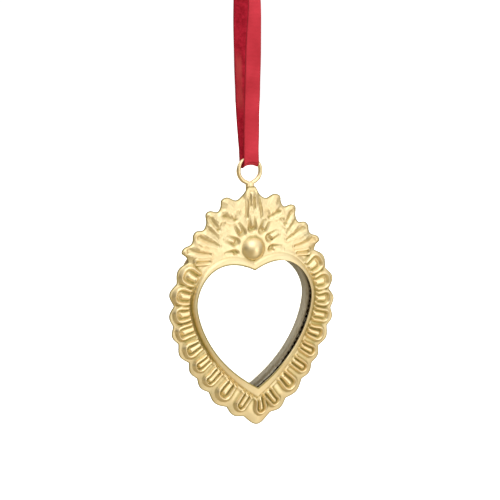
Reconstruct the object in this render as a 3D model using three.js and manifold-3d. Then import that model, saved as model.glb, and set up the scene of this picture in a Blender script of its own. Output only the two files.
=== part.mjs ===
// Mirrored heart ornament: a thin gilt sheet pressed in relief around a heart opening, a heart mirror
// lying behind it in a shallow back pan, a wire hanging eye and a velvet ribbon loop.
// Millimetres, +Z up, the front faces -Y. The origin is the seat of the hook that holds the ornament:
// the crotch of the ribbon loop, right under its knot. Everything below the ribbon is drawn in the
// plate's own coordinates (x to the right, z up) and hung in a group at PLATE_Z.

import * as THREE from 'three';
import { mergeVertices } from 'three/addons/utils/BufferGeometryUtils.js';
import Module from 'manifold-3d';

const { lerp, smoothstep } = THREE.MathUtils;

// Fits
const CLEARANCE = 0.3;        // left between pieces that touch
const SWING_PLAY = 0.4;       // left between the swinging eye and the ribbon's fold

// Heart opening of the front plate, plate coordinates
const HEART_HALF_WIDTH = 26.6;
const HEART_WIDEST_Z = -19.7;
const HEART_NOTCH_Z = -7;
const HEART_TIP_Z = -57.6;
const HEART_LOBE_PULL = [18.5, 2.8];     // Bezier handle that swells the lobe
const HEART_SHOULDER_PULL = 7.5;         // handle above the widest point
const HEART_FLANK_PULL = 6.4;            // handle below the widest point
const HEART_POINT_PULL = [21.8, -44.6];  // handle that brings the flank in to the tip

// Outer edge, right half: the crown's notches and tooth tips, then the scallops' end notches
const NECK = [1.7, 28.2];
const NECK_FLANK = [3.9, 24.8];
const TOOTH_NOTCHES = [[6.9, 22.9], [15.4, 18.7], [21.9, 11.7], [27.9, 6.0]];
const TOOTH_TIPS = [[13.4, 23.4], [20.7, 18.1], [26.6, 9.7], [31.9, 2.8]];
const TOOTH_SHOULDER = { along: 0.6, out: 0.18 };
const TOOTH_FLANK = { along: 0.55, out: -0.12 };
const DEEP_NOTCH = [29.2, -1.0];
const SCALLOP_NOTCHES = [[34.6, -9.5], [36.2, -18.8], [36.8, -27.3], [34.8, -34.9], [30.4, -43.4],
  [27.0, -50.6], [22.0, -57.1], [14.0, -64.7], [6.5, -69.8]];
const SCALLOP_BULGES = [2.2, 2.6, 1.9, 1.7, 2.0, 1.5, 1.5, 1.9, 1.7, 4.4];
const SCALLOP_ROUNDNESS = 1.2;           // power of the sine that draws each bump

// Relief of the front plate: heights above the plane of its edge. A profile is a list of
// [place, height]; the place is the distance from a strip's line over its half width.
const SHEET = 0.5;
const LIP_HEIGHT = 1.4;
const BEAD_HEIGHT = 2.1;
const GROOVE_HEIGHT = 0.5;               // foot of the bead beside the scalloped band
const CROWN_FOOT = 1.3;                  // under the crown
const CROWN_FOOT_BLEND = [-14, -3];      // heights z between which the one passes into the other
const TIP_FOOT = 1.25;                   // and below the heart's tip
const TIP_BLEND = [-50, -34];
const BEAD_WIDTH = { top: 3.8, side: 2.3, tip: 4.2 };
const BEAD_RISE = 0.15;                  // share of the bead's width that its inner slope takes
const BEAD_BROW = { side: 0.55, tip: 0.85 };  // share at which it drops to its foot
const BEAD_TILT = { side: 0.3, tip: 0.6 };    // how far it slopes down before that
const VALLEY_DEPTH = 0.35;               // fold between the bead's foot and the lobes
const VALLEY_WIDTH = 0.8;
const VALLEY_BLEND = [8, 18];            // depths below z = 0 between which the fold starts
const FLANGE = 0.2;                      // flat rim left outside the relief
const SKIRT = 4.5;                       // width over which the field goes down to the rim
const BAND_HEIGHT = 0.4;                 // field of the scalloped band
const TIP_BAND = 0.8;                    // and near the tip
const CROWN_HEIGHT = 1.1;                // field of the crown
const CROWN_BLEND = [-6, 3];
const FIELD_RISE = 2;                    // width over which the field rises from the bead's foot
const STRIP_FADE = { groove: 1.4, edge: 1.1 };  // widths over which strips die out
const LOBE_INSET = [2.4, 3.4];           // from scallop crest to lobe ridge, at the first and last
const LOBE_SHARE = [0.95, 0.72];         // width of the lobe over the pitch, at the first and last
const LOBE_RIDGE = 0.66;                 // ridge radius as a share of the lobe's half width
const LOBE_PROFILE = [[0, 0.9], [0.14, 0.85], [0.38, 0.4], [LOBE_RIDGE, 1.6], [1, 0]];
const SLOT_PROFILE = [[0, 1.25], [0.12, 1.2], [0.37, -0.1], [LOBE_RIDGE, 1.5], [1, 0]];
const FIRST_SLOTTED = 4;                 // from this scallop down the tongue is a ridge of its own
const SIDE_PROFILE = [[0, -0.15], [0.62, 0.95], [1, 0]];
const FLUTE_PROFILE = [[0, 1], [0.35, 0.85], [1, 0]];
const VEIN_PROFILE = [[0, -1], [0.85, 0.1], [1.15, 0.3], [2, 0]];
const PETAL_PROFILE = [[0, 0.5], [0.28, 0.4], [0.82, -0.75], [1.35, 0]];

// Strips drawn one by one: from, to, half width at each end, height or depth at each end
const TIP_LOBE = [[0.9, -61.5], [1.4, -67.0], [2.4, 3.4], [1, 1]];
const SIDE_LOBE = [[20.4, -1.7], [25.6, -1.4], [1.5, 1.9], [0.5, 1]];
const TOOTH_VEINS = [
  [[7.7, 14.7], [6.2, 17.8], [1.3, 1.6], [0.35, 0.2]],
  [[8.2, 14.7], [12.6, 16.7], [1.3, 1.8], [0.3, 0.7]],
  [[15.4, 11.2], [13.2, 14.2], [1.3, 1.6], [0.35, 0.2]],
  [[15.8, 11.4], [18.6, 16.0], [1.3, 1.9], [0.3, 0.8]],
  [[15.0, 4.2], [24.0, 8.5], [0.9, 2.1], [0.1, 0.85]],
  [[15.6, 7.2], [19.6, 11.4], [1.0, 1.6], [0.1, 0.3]],
  [[19.8, 1.3], [28.6, 3.4], [0.9, 2.0], [0.15, 0.85]],
];
const FLUTES = [
  [[1.9, 15.6], [1.7, 23.4], [1.2, 1.2], [1.0, 1.0]],
  [[-1.8, 16.2], [-1.4, 22.6], [0.8, 0.8], [0.9, 0.9]],
  [[-0.3, 18.6], [-0.1, 25.6], [0.55, 0.55], [0.5, 0.5]],
  [[-4.3, 15.4], [-3.3, 20.6], [1.1, 1.1], [0.6, 0.6]],
  [[5.2, 15.2], [4.2, 20.4], [1.1, 1.1], [0.55, 0.55]],
];
const NOTCH_CREASE = [[-9.5, -1.6], [-1.2, -5.2], [0.6, 0.9], [0.25, 0.5]];

// Boss under the crown, with a fan of petals over it
const BOSS = { z: 2.4, radius: 5.5, height: 3.5 };
const PETAL_COUNT = 7;
const PETAL_FAN = 194;                   // degrees from the first petal to the last
const PETAL_TURN = 92;                   // degrees from the x axis to the middle of the fan
const PETAL_SPAN = [8.5, 10.9];          // from the boss's centre to the ends of a petal's line
const PETAL_WIDTH = [1.6, 1.75];
const PETAL_STRENGTH = [0.85, 0.35];

// Points at which the relief is taken
const CROWN_STEPS = 3;                   // spline points to each span of the crown's edge
const SCALLOP_STEPS = 8;
const HEART_STEPS = 22;                  // to each of the heart's two curves, as in the next two
const GLASS_STEPS = 24;
const CARD_STEPS = 16;
const BEAD_ROWS = [0.2, 0.55, 1];        // shares of the bead's width with a row of points
const CONTOUR_PITCH = 1.35;              // spacing of the points along a strip's contours
const POINT_GAP = 0.72;                  // nearest that two points may lie
const LIP_GAP = 0.5;                     // nearest that a bead row may come to the lip
const BOSS_RINGS = [0, 0.4, 0.72, 0.9, 1.02];
const BOSS_SIDES = 18;
const BOSS_GAP = 0.4;
const FILL_PITCH = 2.8;                  // grid that fills what is left
const FILL_GAP = 1.6;
const SCATTER = 1e-4;                    // keeps four points from lying on one circle

// Mirror glass, its backing card and the back pan
const GLASS = 1.3;
const GLASS_MARGIN = 2.6;      // how far the glass reaches behind the lip
const GLASS_SETBACK = 2.5;     // from the plane of the plate's edge to the glass
const CARD = 0.5;
const CARD_MARGIN = 1.8;
const PAN_SHEET = 0.3;
const PAN_STEPS = 30;
const PAN_EDGE = [
  [0, 24.4], [4.5, 21.6], [12.6, 16.0], [18.9, 9.4], [24.6, 3.4], [27.8, -2.2], [31.6, -9.5],
  [33.8, -18.8], [34.0, -27.3], [32.2, -35.4], [27.9, -43.2], [24.2, -50], [19.2, -56.1],
  [12.2, -62.8], [5.2, -67.9], [0, -71],
];

// Hanging eye: one wire bent to a ring, its two legs lying side by side behind the apex
const WIRE = 1.8;
const EYE_RADIUS = 5;
const EYE_RISE = 6.6;          // from the plate's apex to the centre of the ring
const EYE_Y = 0.9;
const LEG_SPACING = 2.0;
const LEG_REACH = 9.7;         // from the plate's apex down to the ends of the legs
const LEG_WINDOW = 14;         // height of the slot that lets the legs out of the back pan
const SHANK_SLOPE = { side: 2.2, foot: [4, 0.6] };  // how the sheet goes up over the legs
const THROAT_BEND = 1.2;       // radius in which each leg turns out into the ring
const WIRE_STEPS = { bend: 4, ring: 13, round: 10 };

// Ribbon loop
const RIBBON_WIDTH = 7;
const RIBBON_FOLD_WIDTH = 5.8;
const RIBBON_THICKNESS = 0.8;
const RIBBON_DROP = 84;        // from the hook's seat to the axis of the fold
const FOLD_DEPTH = 0.5;        // from the top of the ring's wire centre down to the axis of the fold
const GATHER = [3, 11];        // heights above the fold between which the ribbon widens
const FRONT_STRAND = [[-1.3, 0.7], [-2.4, -3], [-4.6, -9], [-6.2, -16], [-6.7, -23], [-6.1, -34],
  [-4.9, -47], [-3.3, -60], [-2.0, -72]];
const BACK_STRAND = [[3.9, -75], [5.0, -66], [5.5, -50], [5.4, -31], [4.4, -19], [3.4, -11],
  [2.2, -4], [1.3, 0.7]];
const RIBBON_STEPS = { length: 60, fold: 6 };
const RIBBON_SECTION = [[1, 0.45], [0.9, 1], [-0.9, 1], [-1, 0.45], [-1, -0.45], [-0.9, -1],
  [0.9, -1], [1, -0.45]];      // shares of half the width and half the thickness

// Knot of the loop's two ends
const KNOT_PROFILE = [[0, 0], [2.6, 0.2], [4.2, 1.8], [4.8, 4.2], [4.3, 6.8], [2.7, 8.4], [0, 8.8]];
const KNOT_FLATTEN = 0.8;
const KNOT_SIDES = 16;
const TAIL_LENGTH = 15;
const TAIL_WIDTH = 6.3;
const TAIL_SPACING = 1.1;      // between the middles of the two tails
const TAIL_SPREAD = 16;        // degrees that each tail leans out

const EYE_Z = NECK[1] + EYE_RISE;
const LEG_END_Z = NECK[1] - LEG_REACH;
const PLATE_Z = -(RIBBON_DROP + EYE_Z + EYE_RADIUS - FOLD_DEPTH);

const wasm = await Module();
wasm.setup();

// Plane geometry
const add = (p, q, k = 1) => [p[0] + q[0] * k, p[1] + q[1] * k];
const distance = (p, q) => Math.hypot(p[0] - q[0], p[1] - q[1]);
const mirrorX = ([x, z]) => [-x, z];

/** Unit direction from p to q and the normal on its left. */
function heading(p, q) {
  const length = distance(p, q);
  const along = [(q[0] - p[0]) / length, (q[1] - p[1]) / length];
  return { along, left: [-along[1], along[0]], length };
}

/** A right half drawn from the top to the bottom on x = 0, closed with its mirror image. */
function closeHalf(half) {
  const left = half.filter(([x]) => x > 1e-6).map(mirrorX).reverse();
  return [...half, ...left];
}

/** Distance from a point to a closed polygon. */
function distanceToLoop(point, loop) {
  let best = Infinity;
  for (let i = 0; i < loop.length; i++) {
    const a = loop[i];
    const b = loop[(i + 1) % loop.length];
    const ab = [b[0] - a[0], b[1] - a[1]];
    const share = ((point[0] - a[0]) * ab[0] + (point[1] - a[1]) * ab[1]) / (ab[0] ** 2 + ab[1] ** 2);
    best = Math.min(best, distance(point, add(a, ab, Math.min(1, Math.max(0, share)))));
  }
  return best;
}

function isInside([x, z], loop) {
  let inside = false;
  for (let i = 0; i < loop.length; i++) {
    const [ax, az] = loop[i];
    const [bx, bz] = loop[(i + 1) % loop.length];
    if (az > z !== bz > z && x < ax + ((z - az) / (bz - az)) * (bx - ax)) inside = !inside;
  }
  return inside;
}

/** Smooth steps between [position, value] knots. */
function wave(knots, s) {
  for (let i = 1; i < knots.length; i++) {
    const [s0, h0] = knots[i - 1];
    const [s1, h1] = knots[i];
    if (s < s1) return lerp(h0, h1, smoothstep(s, s0, s1));
  }
  return knots[knots.length - 1][1];
}

/**
 * The heart opening widened by margins at its top, its sides and its tip. The handles move by
 * shares of the margin that keep the wider outline even with the opening.
 */
function heartLoop({ top, side, tip }, steps) {
  const [lobeShare, shoulderShare, pointShare, tipShare] = [1.1, 0.3, 0.4, 1.2];
  const widest = [HEART_HALF_WIDTH + side, HEART_WIDEST_Z];
  const lobe = new THREE.CubicBezierCurve(
    new THREE.Vector2(0, HEART_NOTCH_Z + top),
    new THREE.Vector2(HEART_LOBE_PULL[0], HEART_LOBE_PULL[1] + top * lobeShare),
    new THREE.Vector2(widest[0], widest[1] + HEART_SHOULDER_PULL + top * shoulderShare),
    new THREE.Vector2(...widest),
  );
  const flank = new THREE.CubicBezierCurve(
    new THREE.Vector2(...widest),
    new THREE.Vector2(widest[0], widest[1] - HEART_FLANK_PULL),
    new THREE.Vector2(HEART_POINT_PULL[0] + side, HEART_POINT_PULL[1] - tip * pointShare),
    new THREE.Vector2(0, HEART_TIP_Z - tip * tipShare),
  );
  const points = [...lobe.getSpacedPoints(steps), ...flank.getSpacedPoints(steps).slice(1)];
  return closeHalf(points.map(({ x, y }) => [Math.abs(x) < 1e-6 ? 0 : x, y]));
}

/** Crown edge: each tooth rises in a round shoulder to its tip and drops back in a short flank. */
function crownEdge() {
  const points = [NECK, NECK_FLANK];
  TOOTH_TIPS.forEach((tip, i) => {
    const notch = TOOTH_NOTCHES[i];
    const rise = heading(notch, tip);
    const fall = heading(tip, TOOTH_NOTCHES[i + 1] ?? DEEP_NOTCH);
    const shoulder = add(add(notch, rise.along, rise.length * TOOTH_SHOULDER.along),
      rise.left, rise.length * TOOTH_SHOULDER.out);
    const flank = add(add(tip, fall.along, fall.length * TOOTH_FLANK.along),
      fall.left, fall.length * TOOTH_FLANK.out);
    points.push(notch, shoulder, tip, flank);
  });
  points.push(DEEP_NOTCH);
  const spline = new THREE.SplineCurve(points.map(([x, z]) => new THREE.Vector2(x, z)));
  return spline.getPoints((points.length - 1) * CROWN_STEPS).map(({ x, y }) => [x, y]);
}

/** Scallops of the right half, from the deep notch to the bottom one, with their crests. */
function scallopList() {
  const starts = [DEEP_NOTCH, ...SCALLOP_NOTCHES];
  return starts.map((start, i) => {
    const chord = heading(start, starts[i + 1] ?? mirrorX(start));
    const middle = add(start, chord.along, chord.length / 2);
    const bulge = SCALLOP_BULGES[i];
    return { start, bulge, chord, middle, crest: add(middle, chord.left, bulge) };
  });
}

/** Edge of one scallop: a sine bump that meets its neighbours in rounded notches. */
function scallopEdge({ start, chord, bulge }, steps) {
  const points = [];
  for (let i = 1; i <= steps; i++) {
    const t = i / steps;
    const rise = bulge * Math.sin(Math.PI * t) ** SCALLOP_ROUNDNESS;
    points.push(add(add(start, chord.along, chord.length * t), chord.left, rise));
  }
  return points;
}

const scallops = scallopList();
const halfEdge = [
  ...crownEdge(),
  ...scallops.slice(0, -1).flatMap((scallop) => scallopEdge(scallop, SCALLOP_STEPS)),
  ...scallopEdge(scallops[scallops.length - 1], SCALLOP_STEPS).slice(0, SCALLOP_STEPS / 2),
];
halfEdge[halfEdge.length - 1][0] = 0;
const plateEdge = closeHalf(halfEdge);
const lip = heartLoop({ top: 0, side: 0, tip: 0 }, HEART_STEPS);
const groove = heartLoop(BEAD_WIDTH, HEART_STEPS);

function nearestOnLoop(point, loop) {
  return loop.reduce((best, q) => (distance(q, point) < distance(best, point) ? q : best));
}

/**
 * A strip of the relief runs from a to b with round ends. Half width and strength go evenly from
 * their first value at a to their second at b, and the profile gives its section.
 */
function strip([a, b, widths, strengths], profile) {
  return { a, b, widths, strengths, profile };
}

/** A U-shaped lobe for each scallop, from the bead's foot to just short of the scallop's crest. */
function lobeStrips() {
  const bases = scallops.map(({ middle }) => nearestOnLoop(middle, groove));
  const rows = scallops.slice(0, -1);
  return rows.map(({ chord, crest }, i) => {
    const share = lerp(...LOBE_SHARE, i / (rows.length - 1));
    const width = (share * chord.length) / 2;
    const { along } = heading(bases[i], crest);
    const before = distance(bases[i], bases[Math.max(0, i - 1)]);
    const after = distance(bases[i], bases[i + 1]);
    const baseWidth = Math.min(width, (share * Math.max(before, after)) / 2);
    const inset = lerp(...LOBE_INSET, i / (rows.length - 1));
    const end = add(crest, along, -(inset + LOBE_RIDGE * width));
    const profile = i < FIRST_SLOTTED ? LOBE_PROFILE : SLOT_PROFILE;
    return strip([bases[i], end, [baseWidth, width], [1, 1]], profile);
  });
}

function petalStrips() {
  const centre = [0, BOSS.z];
  return Array.from({ length: PETAL_COUNT }, (_, i) => {
    const turn = PETAL_TURN + PETAL_FAN * (i / (PETAL_COUNT - 1) - 0.5);
    const angle = THREE.MathUtils.degToRad(turn);
    const ray = [Math.cos(angle), Math.sin(angle)];
    const [near, far] = PETAL_SPAN.map((reach) => add(centre, ray, reach));
    return strip([near, far, PETAL_WIDTH, PETAL_STRENGTH], PETAL_PROFILE);
  });
}

const mirrorStrip = (given) => ({ ...given, a: mirrorX(given.a), b: mirrorX(given.b) });
const pairedStrips = [
  ...lobeStrips(),
  strip(SIDE_LOBE, SIDE_PROFILE),
  ...TOOTH_VEINS.map((vein) => strip(vein, VEIN_PROFILE)),
];
const strips = [
  ...pairedStrips,
  ...pairedStrips.map(mirrorStrip),
  strip(TIP_LOBE, SLOT_PROFILE),
  ...petalStrips(),
  ...FLUTES.map((flute) => strip(flute, FLUTE_PROFILE)),
  strip(NOTCH_CREASE, VEIN_PROFILE),
];

/** What a strip adds to the relief at a point. */
function stripHeight(point, { a, b, widths, strengths, profile }) {
  const ab = [b[0] - a[0], b[1] - a[1]];
  const share = ((point[0] - a[0]) * ab[0] + (point[1] - a[1]) * ab[1]) / (ab[0] ** 2 + ab[1] ** 2);
  const t = Math.min(1, Math.max(0, share));
  return lerp(...strengths, t) * wave(profile, distance(point, add(a, ab, t)) / lerp(...widths, t));
}

/**
 * Height of the pressed sheet's front above the plane of its edge. A bead follows the lip, steep
 * inside and falling away outside. Beyond its foot a field rises from the band to the crown and
 * goes down gently to the edge, and each strip adds its own height. The boss stands on the
 * crown's field, and the apex swells over the wire behind it.
 */
function relief(point) {
  const [x, z] = point;
  const fromEdge = distanceToLoop(point, plateEdge);
  const fromLip = distanceToLoop(point, lip);
  const fromGroove = distanceToLoop(point, groove);
  const atTip = 1 - smoothstep(z, ...TIP_BLEND);
  const footAbove = lerp(GROOVE_HEIGHT, CROWN_FOOT, smoothstep(z, ...CROWN_FOOT_BLEND));
  const foot = lerp(footAbove, TIP_FOOT, atTip);
  const valley = VALLEY_DEPTH * (1 - smoothstep(fromGroove, 0, VALLEY_WIDTH))
    * smoothstep(-z, ...VALLEY_BLEND);
  if (isInside(point, groove)) {
    const s = fromLip / (fromLip + fromGroove);
    const rise = Math.sin((Math.PI / 2) * Math.min(1, s / BEAD_RISE));
    const brow = lerp(BEAD_BROW.side, BEAD_BROW.tip, atTip);
    const tilt = lerp(BEAD_TILT.side, BEAD_TILT.tip, atTip);
    const slope = tilt * Math.min(1, Math.max(0, (s - BEAD_RISE) / (brow - BEAD_RISE)));
    const drop = (BEAD_HEIGHT - tilt - foot) * smoothstep(s, brow, 1);
    return lerp(LIP_HEIGHT, BEAD_HEIGHT, rise) - slope - drop - valley;
  }
  const band = lerp(BAND_HEIGHT, TIP_BAND, atTip);
  const field = lerp(band, CROWN_HEIGHT, smoothstep(z, ...CROWN_BLEND));
  const skirt = Math.sin((Math.PI / 2) * Math.min(1, Math.max(0, (fromEdge - FLANGE) / SKIRT)));
  let height = lerp(foot, field, smoothstep(fromGroove, 0, FIELD_RISE)) * skirt - valley;
  const fade = smoothstep(fromGroove, 0, STRIP_FADE.groove)
    * smoothstep(fromEdge, FLANGE, FLANGE + STRIP_FADE.edge);
  for (const each of strips) height += fade * stripHeight(point, each);
  const fromBoss = Math.hypot(x, z - BOSS.z);
  if (fromBoss < BOSS.radius) height = Math.max(height, CROWN_HEIGHT + bossRise(fromBoss));
  return Math.max(height, shankRise(point));
}

/** The boss is the cap of a ball. */
function bossRise(distanceOut) {
  const ball = (BOSS.radius ** 2 + BOSS.height ** 2) / (2 * BOSS.height);
  return Math.sqrt(ball ** 2 - distanceOut ** 2) - ball + BOSS.height;
}

/** The apex is pressed up over the wire's legs, so the sheet clears them behind. */
function shankRise([x, z]) {
  const reach = (LEG_SPACING + WIRE) / 2 + CLEARANCE;
  const rise = SHEET + CLEARANCE + WIRE / 2 - EYE_Y;
  const across = 1 - smoothstep(Math.abs(x), reach, reach + SHANK_SLOPE.side);
  return rise * across * smoothstep(z, ...SHANK_SLOPE.foot.map((below) => LEG_END_Z - below));
}

/** Points of a strip's contour at a place of its profile: two sides and two round ends. */
function stripContour({ a, b, widths }, place) {
  const { along, left, length } = heading(a, b);
  const points = [];
  const steps = Math.ceil(length / CONTOUR_PITCH);
  for (let i = 0; i <= steps; i++) {
    const spine = add(a, along, (length * i) / steps);
    const out = lerp(...widths, i / steps) * place;
    points.push(add(spine, left, out), add(spine, left, -out));
  }
  [[a, -widths[0] * place], [b, widths[1] * place]].forEach(([end, radius]) => {
    const turns = Math.ceil((Math.PI * Math.abs(radius)) / CONTOUR_PITCH);
    for (let i = 1; i < turns; i++) {
      const angle = Math.PI / 2 - (Math.PI * i) / turns;
      points.push(add(add(end, along, radius * Math.cos(angle)), left, radius * Math.sin(angle)));
    }
  });
  return points;
}

/** Offsets each point of a loop along its outward normal. */
function offsetLoop(loop, offset) {
  return loop.map((p, i) => {
    const before = loop[(i + loop.length - 1) % loop.length];
    const after = loop[(i + 1) % loop.length];
    return add(p, heading(before, after).left, offset);
  });
}

/** Points where the relief turns: edges, bead rows, strip contours and boss rings, then a fill. */
function reliefPoints() {
  const points = [...plateEdge, ...lip];
  const insert = (p, gap, edgeGap) => {
    const clear = isInside(p, plateEdge) && !isInside(p, lip)
      && distanceToLoop(p, plateEdge) > edgeGap && distanceToLoop(p, lip) > edgeGap;
    if (clear && points.every((q) => distance(p, q) > gap)) points.push(p);
  };
  BEAD_ROWS.forEach((share) => {
    const { top, side, tip } = BEAD_WIDTH;
    heartLoop({ top: top * share, side: side * share, tip: tip * share }, HEART_STEPS)
      .forEach((p) => insert(p, LIP_GAP, LIP_GAP));
  });
  for (const each of strips) {
    [...each.profile].reverse().forEach(([place]) => {
      stripContour(each, place).filter((p) => !isInside(p, groove))
        .forEach((p) => insert(p, POINT_GAP, POINT_GAP));
    });
  }
  BOSS_RINGS.forEach((share) => {
    for (let i = 0; i < BOSS_SIDES; i++) {
      const angle = (2 * Math.PI * i) / BOSS_SIDES;
      const r = BOSS.radius * share;
      insert([r * Math.cos(angle), BOSS.z + r * Math.sin(angle)], BOSS_GAP, POINT_GAP);
    }
  });
  const { min, max } = new THREE.Box2().setFromPoints(plateEdge.map((p) => new THREE.Vector2(...p)));
  for (let row = 0, z = min.y; z < max.y; z += FILL_PITCH * Math.sqrt(0.75), row++) {
    const shift = row % 2 ? FILL_PITCH / 2 : 0;
    for (let x = min.x + shift; x < max.x; x += FILL_PITCH) insert([x, z], FILL_GAP, POINT_GAP);
  }
  return points.map(([x, z], i) => [x + SCATTER * Math.sin(i * 13), z + SCATTER * Math.sin(i * 78)]);
}

/** Delaunay triangles of a set of points, each as three indices in counter-clockwise order. */
function delaunay(points) {
  const far = 30 * Math.max(...points.map(([x, z]) => Math.hypot(x, z)));
  const all = [...points, [-far, -far], [far, -far], [0, far]];
  const circle = (i, j, k) => {
    const [a, b, c] = [all[i], all[j], all[k]];
    const d = 2 * ((b[0] - a[0]) * (c[1] - a[1]) - (b[1] - a[1]) * (c[0] - a[0]));
    const bb = (b[0] - a[0]) ** 2 + (b[1] - a[1]) ** 2;
    const cc = (c[0] - a[0]) ** 2 + (c[1] - a[1]) ** 2;
    const ux = ((c[1] - a[1]) * bb - (b[1] - a[1]) * cc) / d;
    const uz = ((b[0] - a[0]) * cc - (c[0] - a[0]) * bb) / d;
    return { corners: [i, j, k], x: a[0] + ux, z: a[1] + uz, rr: ux * ux + uz * uz };
  };
  let triangles = [circle(points.length, points.length + 1, points.length + 2)];
  points.forEach(([x, z], index) => {
    const hit = (t) => (t.x - x) ** 2 + (t.z - z) ** 2 < t.rr;
    const edges = new Map();
    for (const { corners } of triangles.filter(hit)) {
      for (let i = 0; i < 3; i++) {
        const [p, q] = [corners[i], corners[(i + 1) % 3]];
        if (!edges.delete(`${q},${p}`)) edges.set(`${p},${q}`, [p, q]);
      }
    }
    triangles = triangles.filter((t) => !hit(t));
    for (const [p, q] of edges.values()) triangles.push(circle(p, q, index));
  });
  return triangles.map(({ corners }) => corners)
    .filter((corners) => corners.every((i) => i < points.length));
}

/** Closed sheet from plane points, their front heights and the triangles between them. */
function sheetGeometry(points, heights, triangles, thickness) {
  const positions = [];
  const index = [];
  const count = points.length;
  points.forEach(([x, z], i) => positions.push(x, -heights[i], z));
  points.forEach(([x, z], i) => positions.push(x, -heights[i] + thickness, z));
  const edges = new Map();
  for (const [a, b, c] of triangles) {
    index.push(a, b, c, a + count, c + count, b + count);
    [[a, b], [b, c], [c, a]].forEach(([p, q]) => {
      if (!edges.delete(`${q},${p}`)) edges.set(`${p},${q}`, [p, q]);
    });
  }
  for (const [p, q] of edges.values()) index.push(q, p, p + count, q, p + count, q + count);
  const geometry = new THREE.BufferGeometry();
  geometry.setAttribute('position', new THREE.Float32BufferAttribute(positions, 3));
  geometry.setIndex(index);
  return geometry;
}

/** Relief mesh in the plane, shared by the front plate and the space that lies behind it. */
function reliefMesh() {
  const points = reliefPoints();
  const triangles = delaunay(points).filter((corners) => {
    const middle = [0, 1].map((axis) => corners.reduce((sum, i) => sum + points[i][axis], 0) / 3);
    return isInside(middle, plateEdge) && !isInside(middle, lip);
  });
  return { points, heights: points.map(relief), triangles };
}

/** Plate drawn by a plane outline, from y = front to y = front + thickness. */
function flatPiece(loop, front, thickness) {
  const shape = new THREE.Shape(loop.map(([x, z]) => new THREE.Vector2(x, z)));
  const geometry = new THREE.ExtrudeGeometry(shape, { depth: thickness, bevelEnabled: false });
  geometry.rotateX(Math.PI / 2);
  geometry.translate(0, front + thickness, 0);
  return geometry;
}

function toSolid(geometry) {
  const bare = new THREE.BufferGeometry();
  bare.setAttribute('position', geometry.getAttribute('position'));
  bare.setIndex(geometry.getIndex());
  const merged = mergeVertices(bare, 1e-5);
  return new wasm.Manifold(new wasm.Mesh({
    numProp: 3,
    vertProperties: new Float32Array(merged.getAttribute('position').array),
    triVerts: new Uint32Array(merged.getIndex().array),
  }));
}

function fromSolid(solid) {
  const mesh = solid.getMesh();
  const geometry = new THREE.BufferGeometry();
  geometry.setAttribute('position', new THREE.BufferAttribute(mesh.vertProperties, 3));
  geometry.setIndex(new THREE.BufferAttribute(mesh.triVerts, 1));
  return geometry;
}

/** Shallow tray: its wall is scribed to the back of the relief and slotted for the eye's legs. */
function backPlate({ points, heights, triangles }) {
  const spline = new THREE.SplineCurve(PAN_EDGE.map(([x, z]) => new THREE.Vector2(x, z)));
  const half = spline.getSpacedPoints(PAN_STEPS).map(({ x, y }) => [Math.abs(x) < 1e-3 ? 0 : x, y]);
  const wall = closeHalf(half);
  const floorFront = GLASS_SETBACK + GLASS + CARD + 2 * CLEARANCE;
  const depth = floorFront + PAN_SHEET + BEAD_HEIGHT;
  const body = toSolid(flatPiece(wall, -BEAD_HEIGHT, depth));
  const hollow = toSolid(flatPiece(offsetLoop(wall, -PAN_SHEET), -depth, depth + floorFront));
  const behind = heights.map((height) => height - SHEET - CLEARANCE);
  const space = toSolid(sheetGeometry(points, behind, triangles, 3 * depth));
  const slotWidth = LEG_SPACING + WIRE + 2 * CLEARANCE;
  const slotBack = EYE_Y + WIRE / 2 + CLEARANCE;
  const slot = new THREE.BoxGeometry(slotWidth, depth, LEG_WINDOW);
  slot.translate(0, slotBack - depth / 2, LEG_END_Z - CLEARANCE + LEG_WINDOW / 2);
  const floor = toSolid(flatPiece(wall, floorFront, PAN_SHEET));
  const rim = body.subtract(hollow).intersect(space).subtract(toSolid(slot));
  return fromSolid(rim.add(floor));
}

/** Closed loft through rings of points, each ring turning clockwise seen along the way. */
function loft(rings) {
  const sides = rings[0].length;
  const positions = rings.flat(2);
  const index = [];
  for (let i = 0; i + 1 < rings.length; i++) {
    for (let j = 0; j < sides; j++) {
      const a = i * sides + j;
      const b = i * sides + ((j + 1) % sides);
      index.push(a, b, b + sides, a, b + sides, a + sides);
    }
  }
  const last = (rings.length - 1) * sides;
  for (let j = 1; j + 1 < sides; j++) {
    index.push(0, j + 1, j, last, last + j, last + j + 1);
  }
  const geometry = new THREE.BufferGeometry();
  geometry.setAttribute('position', new THREE.Float32BufferAttribute(positions, 3));
  geometry.setIndex(index);
  return geometry;
}

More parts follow.
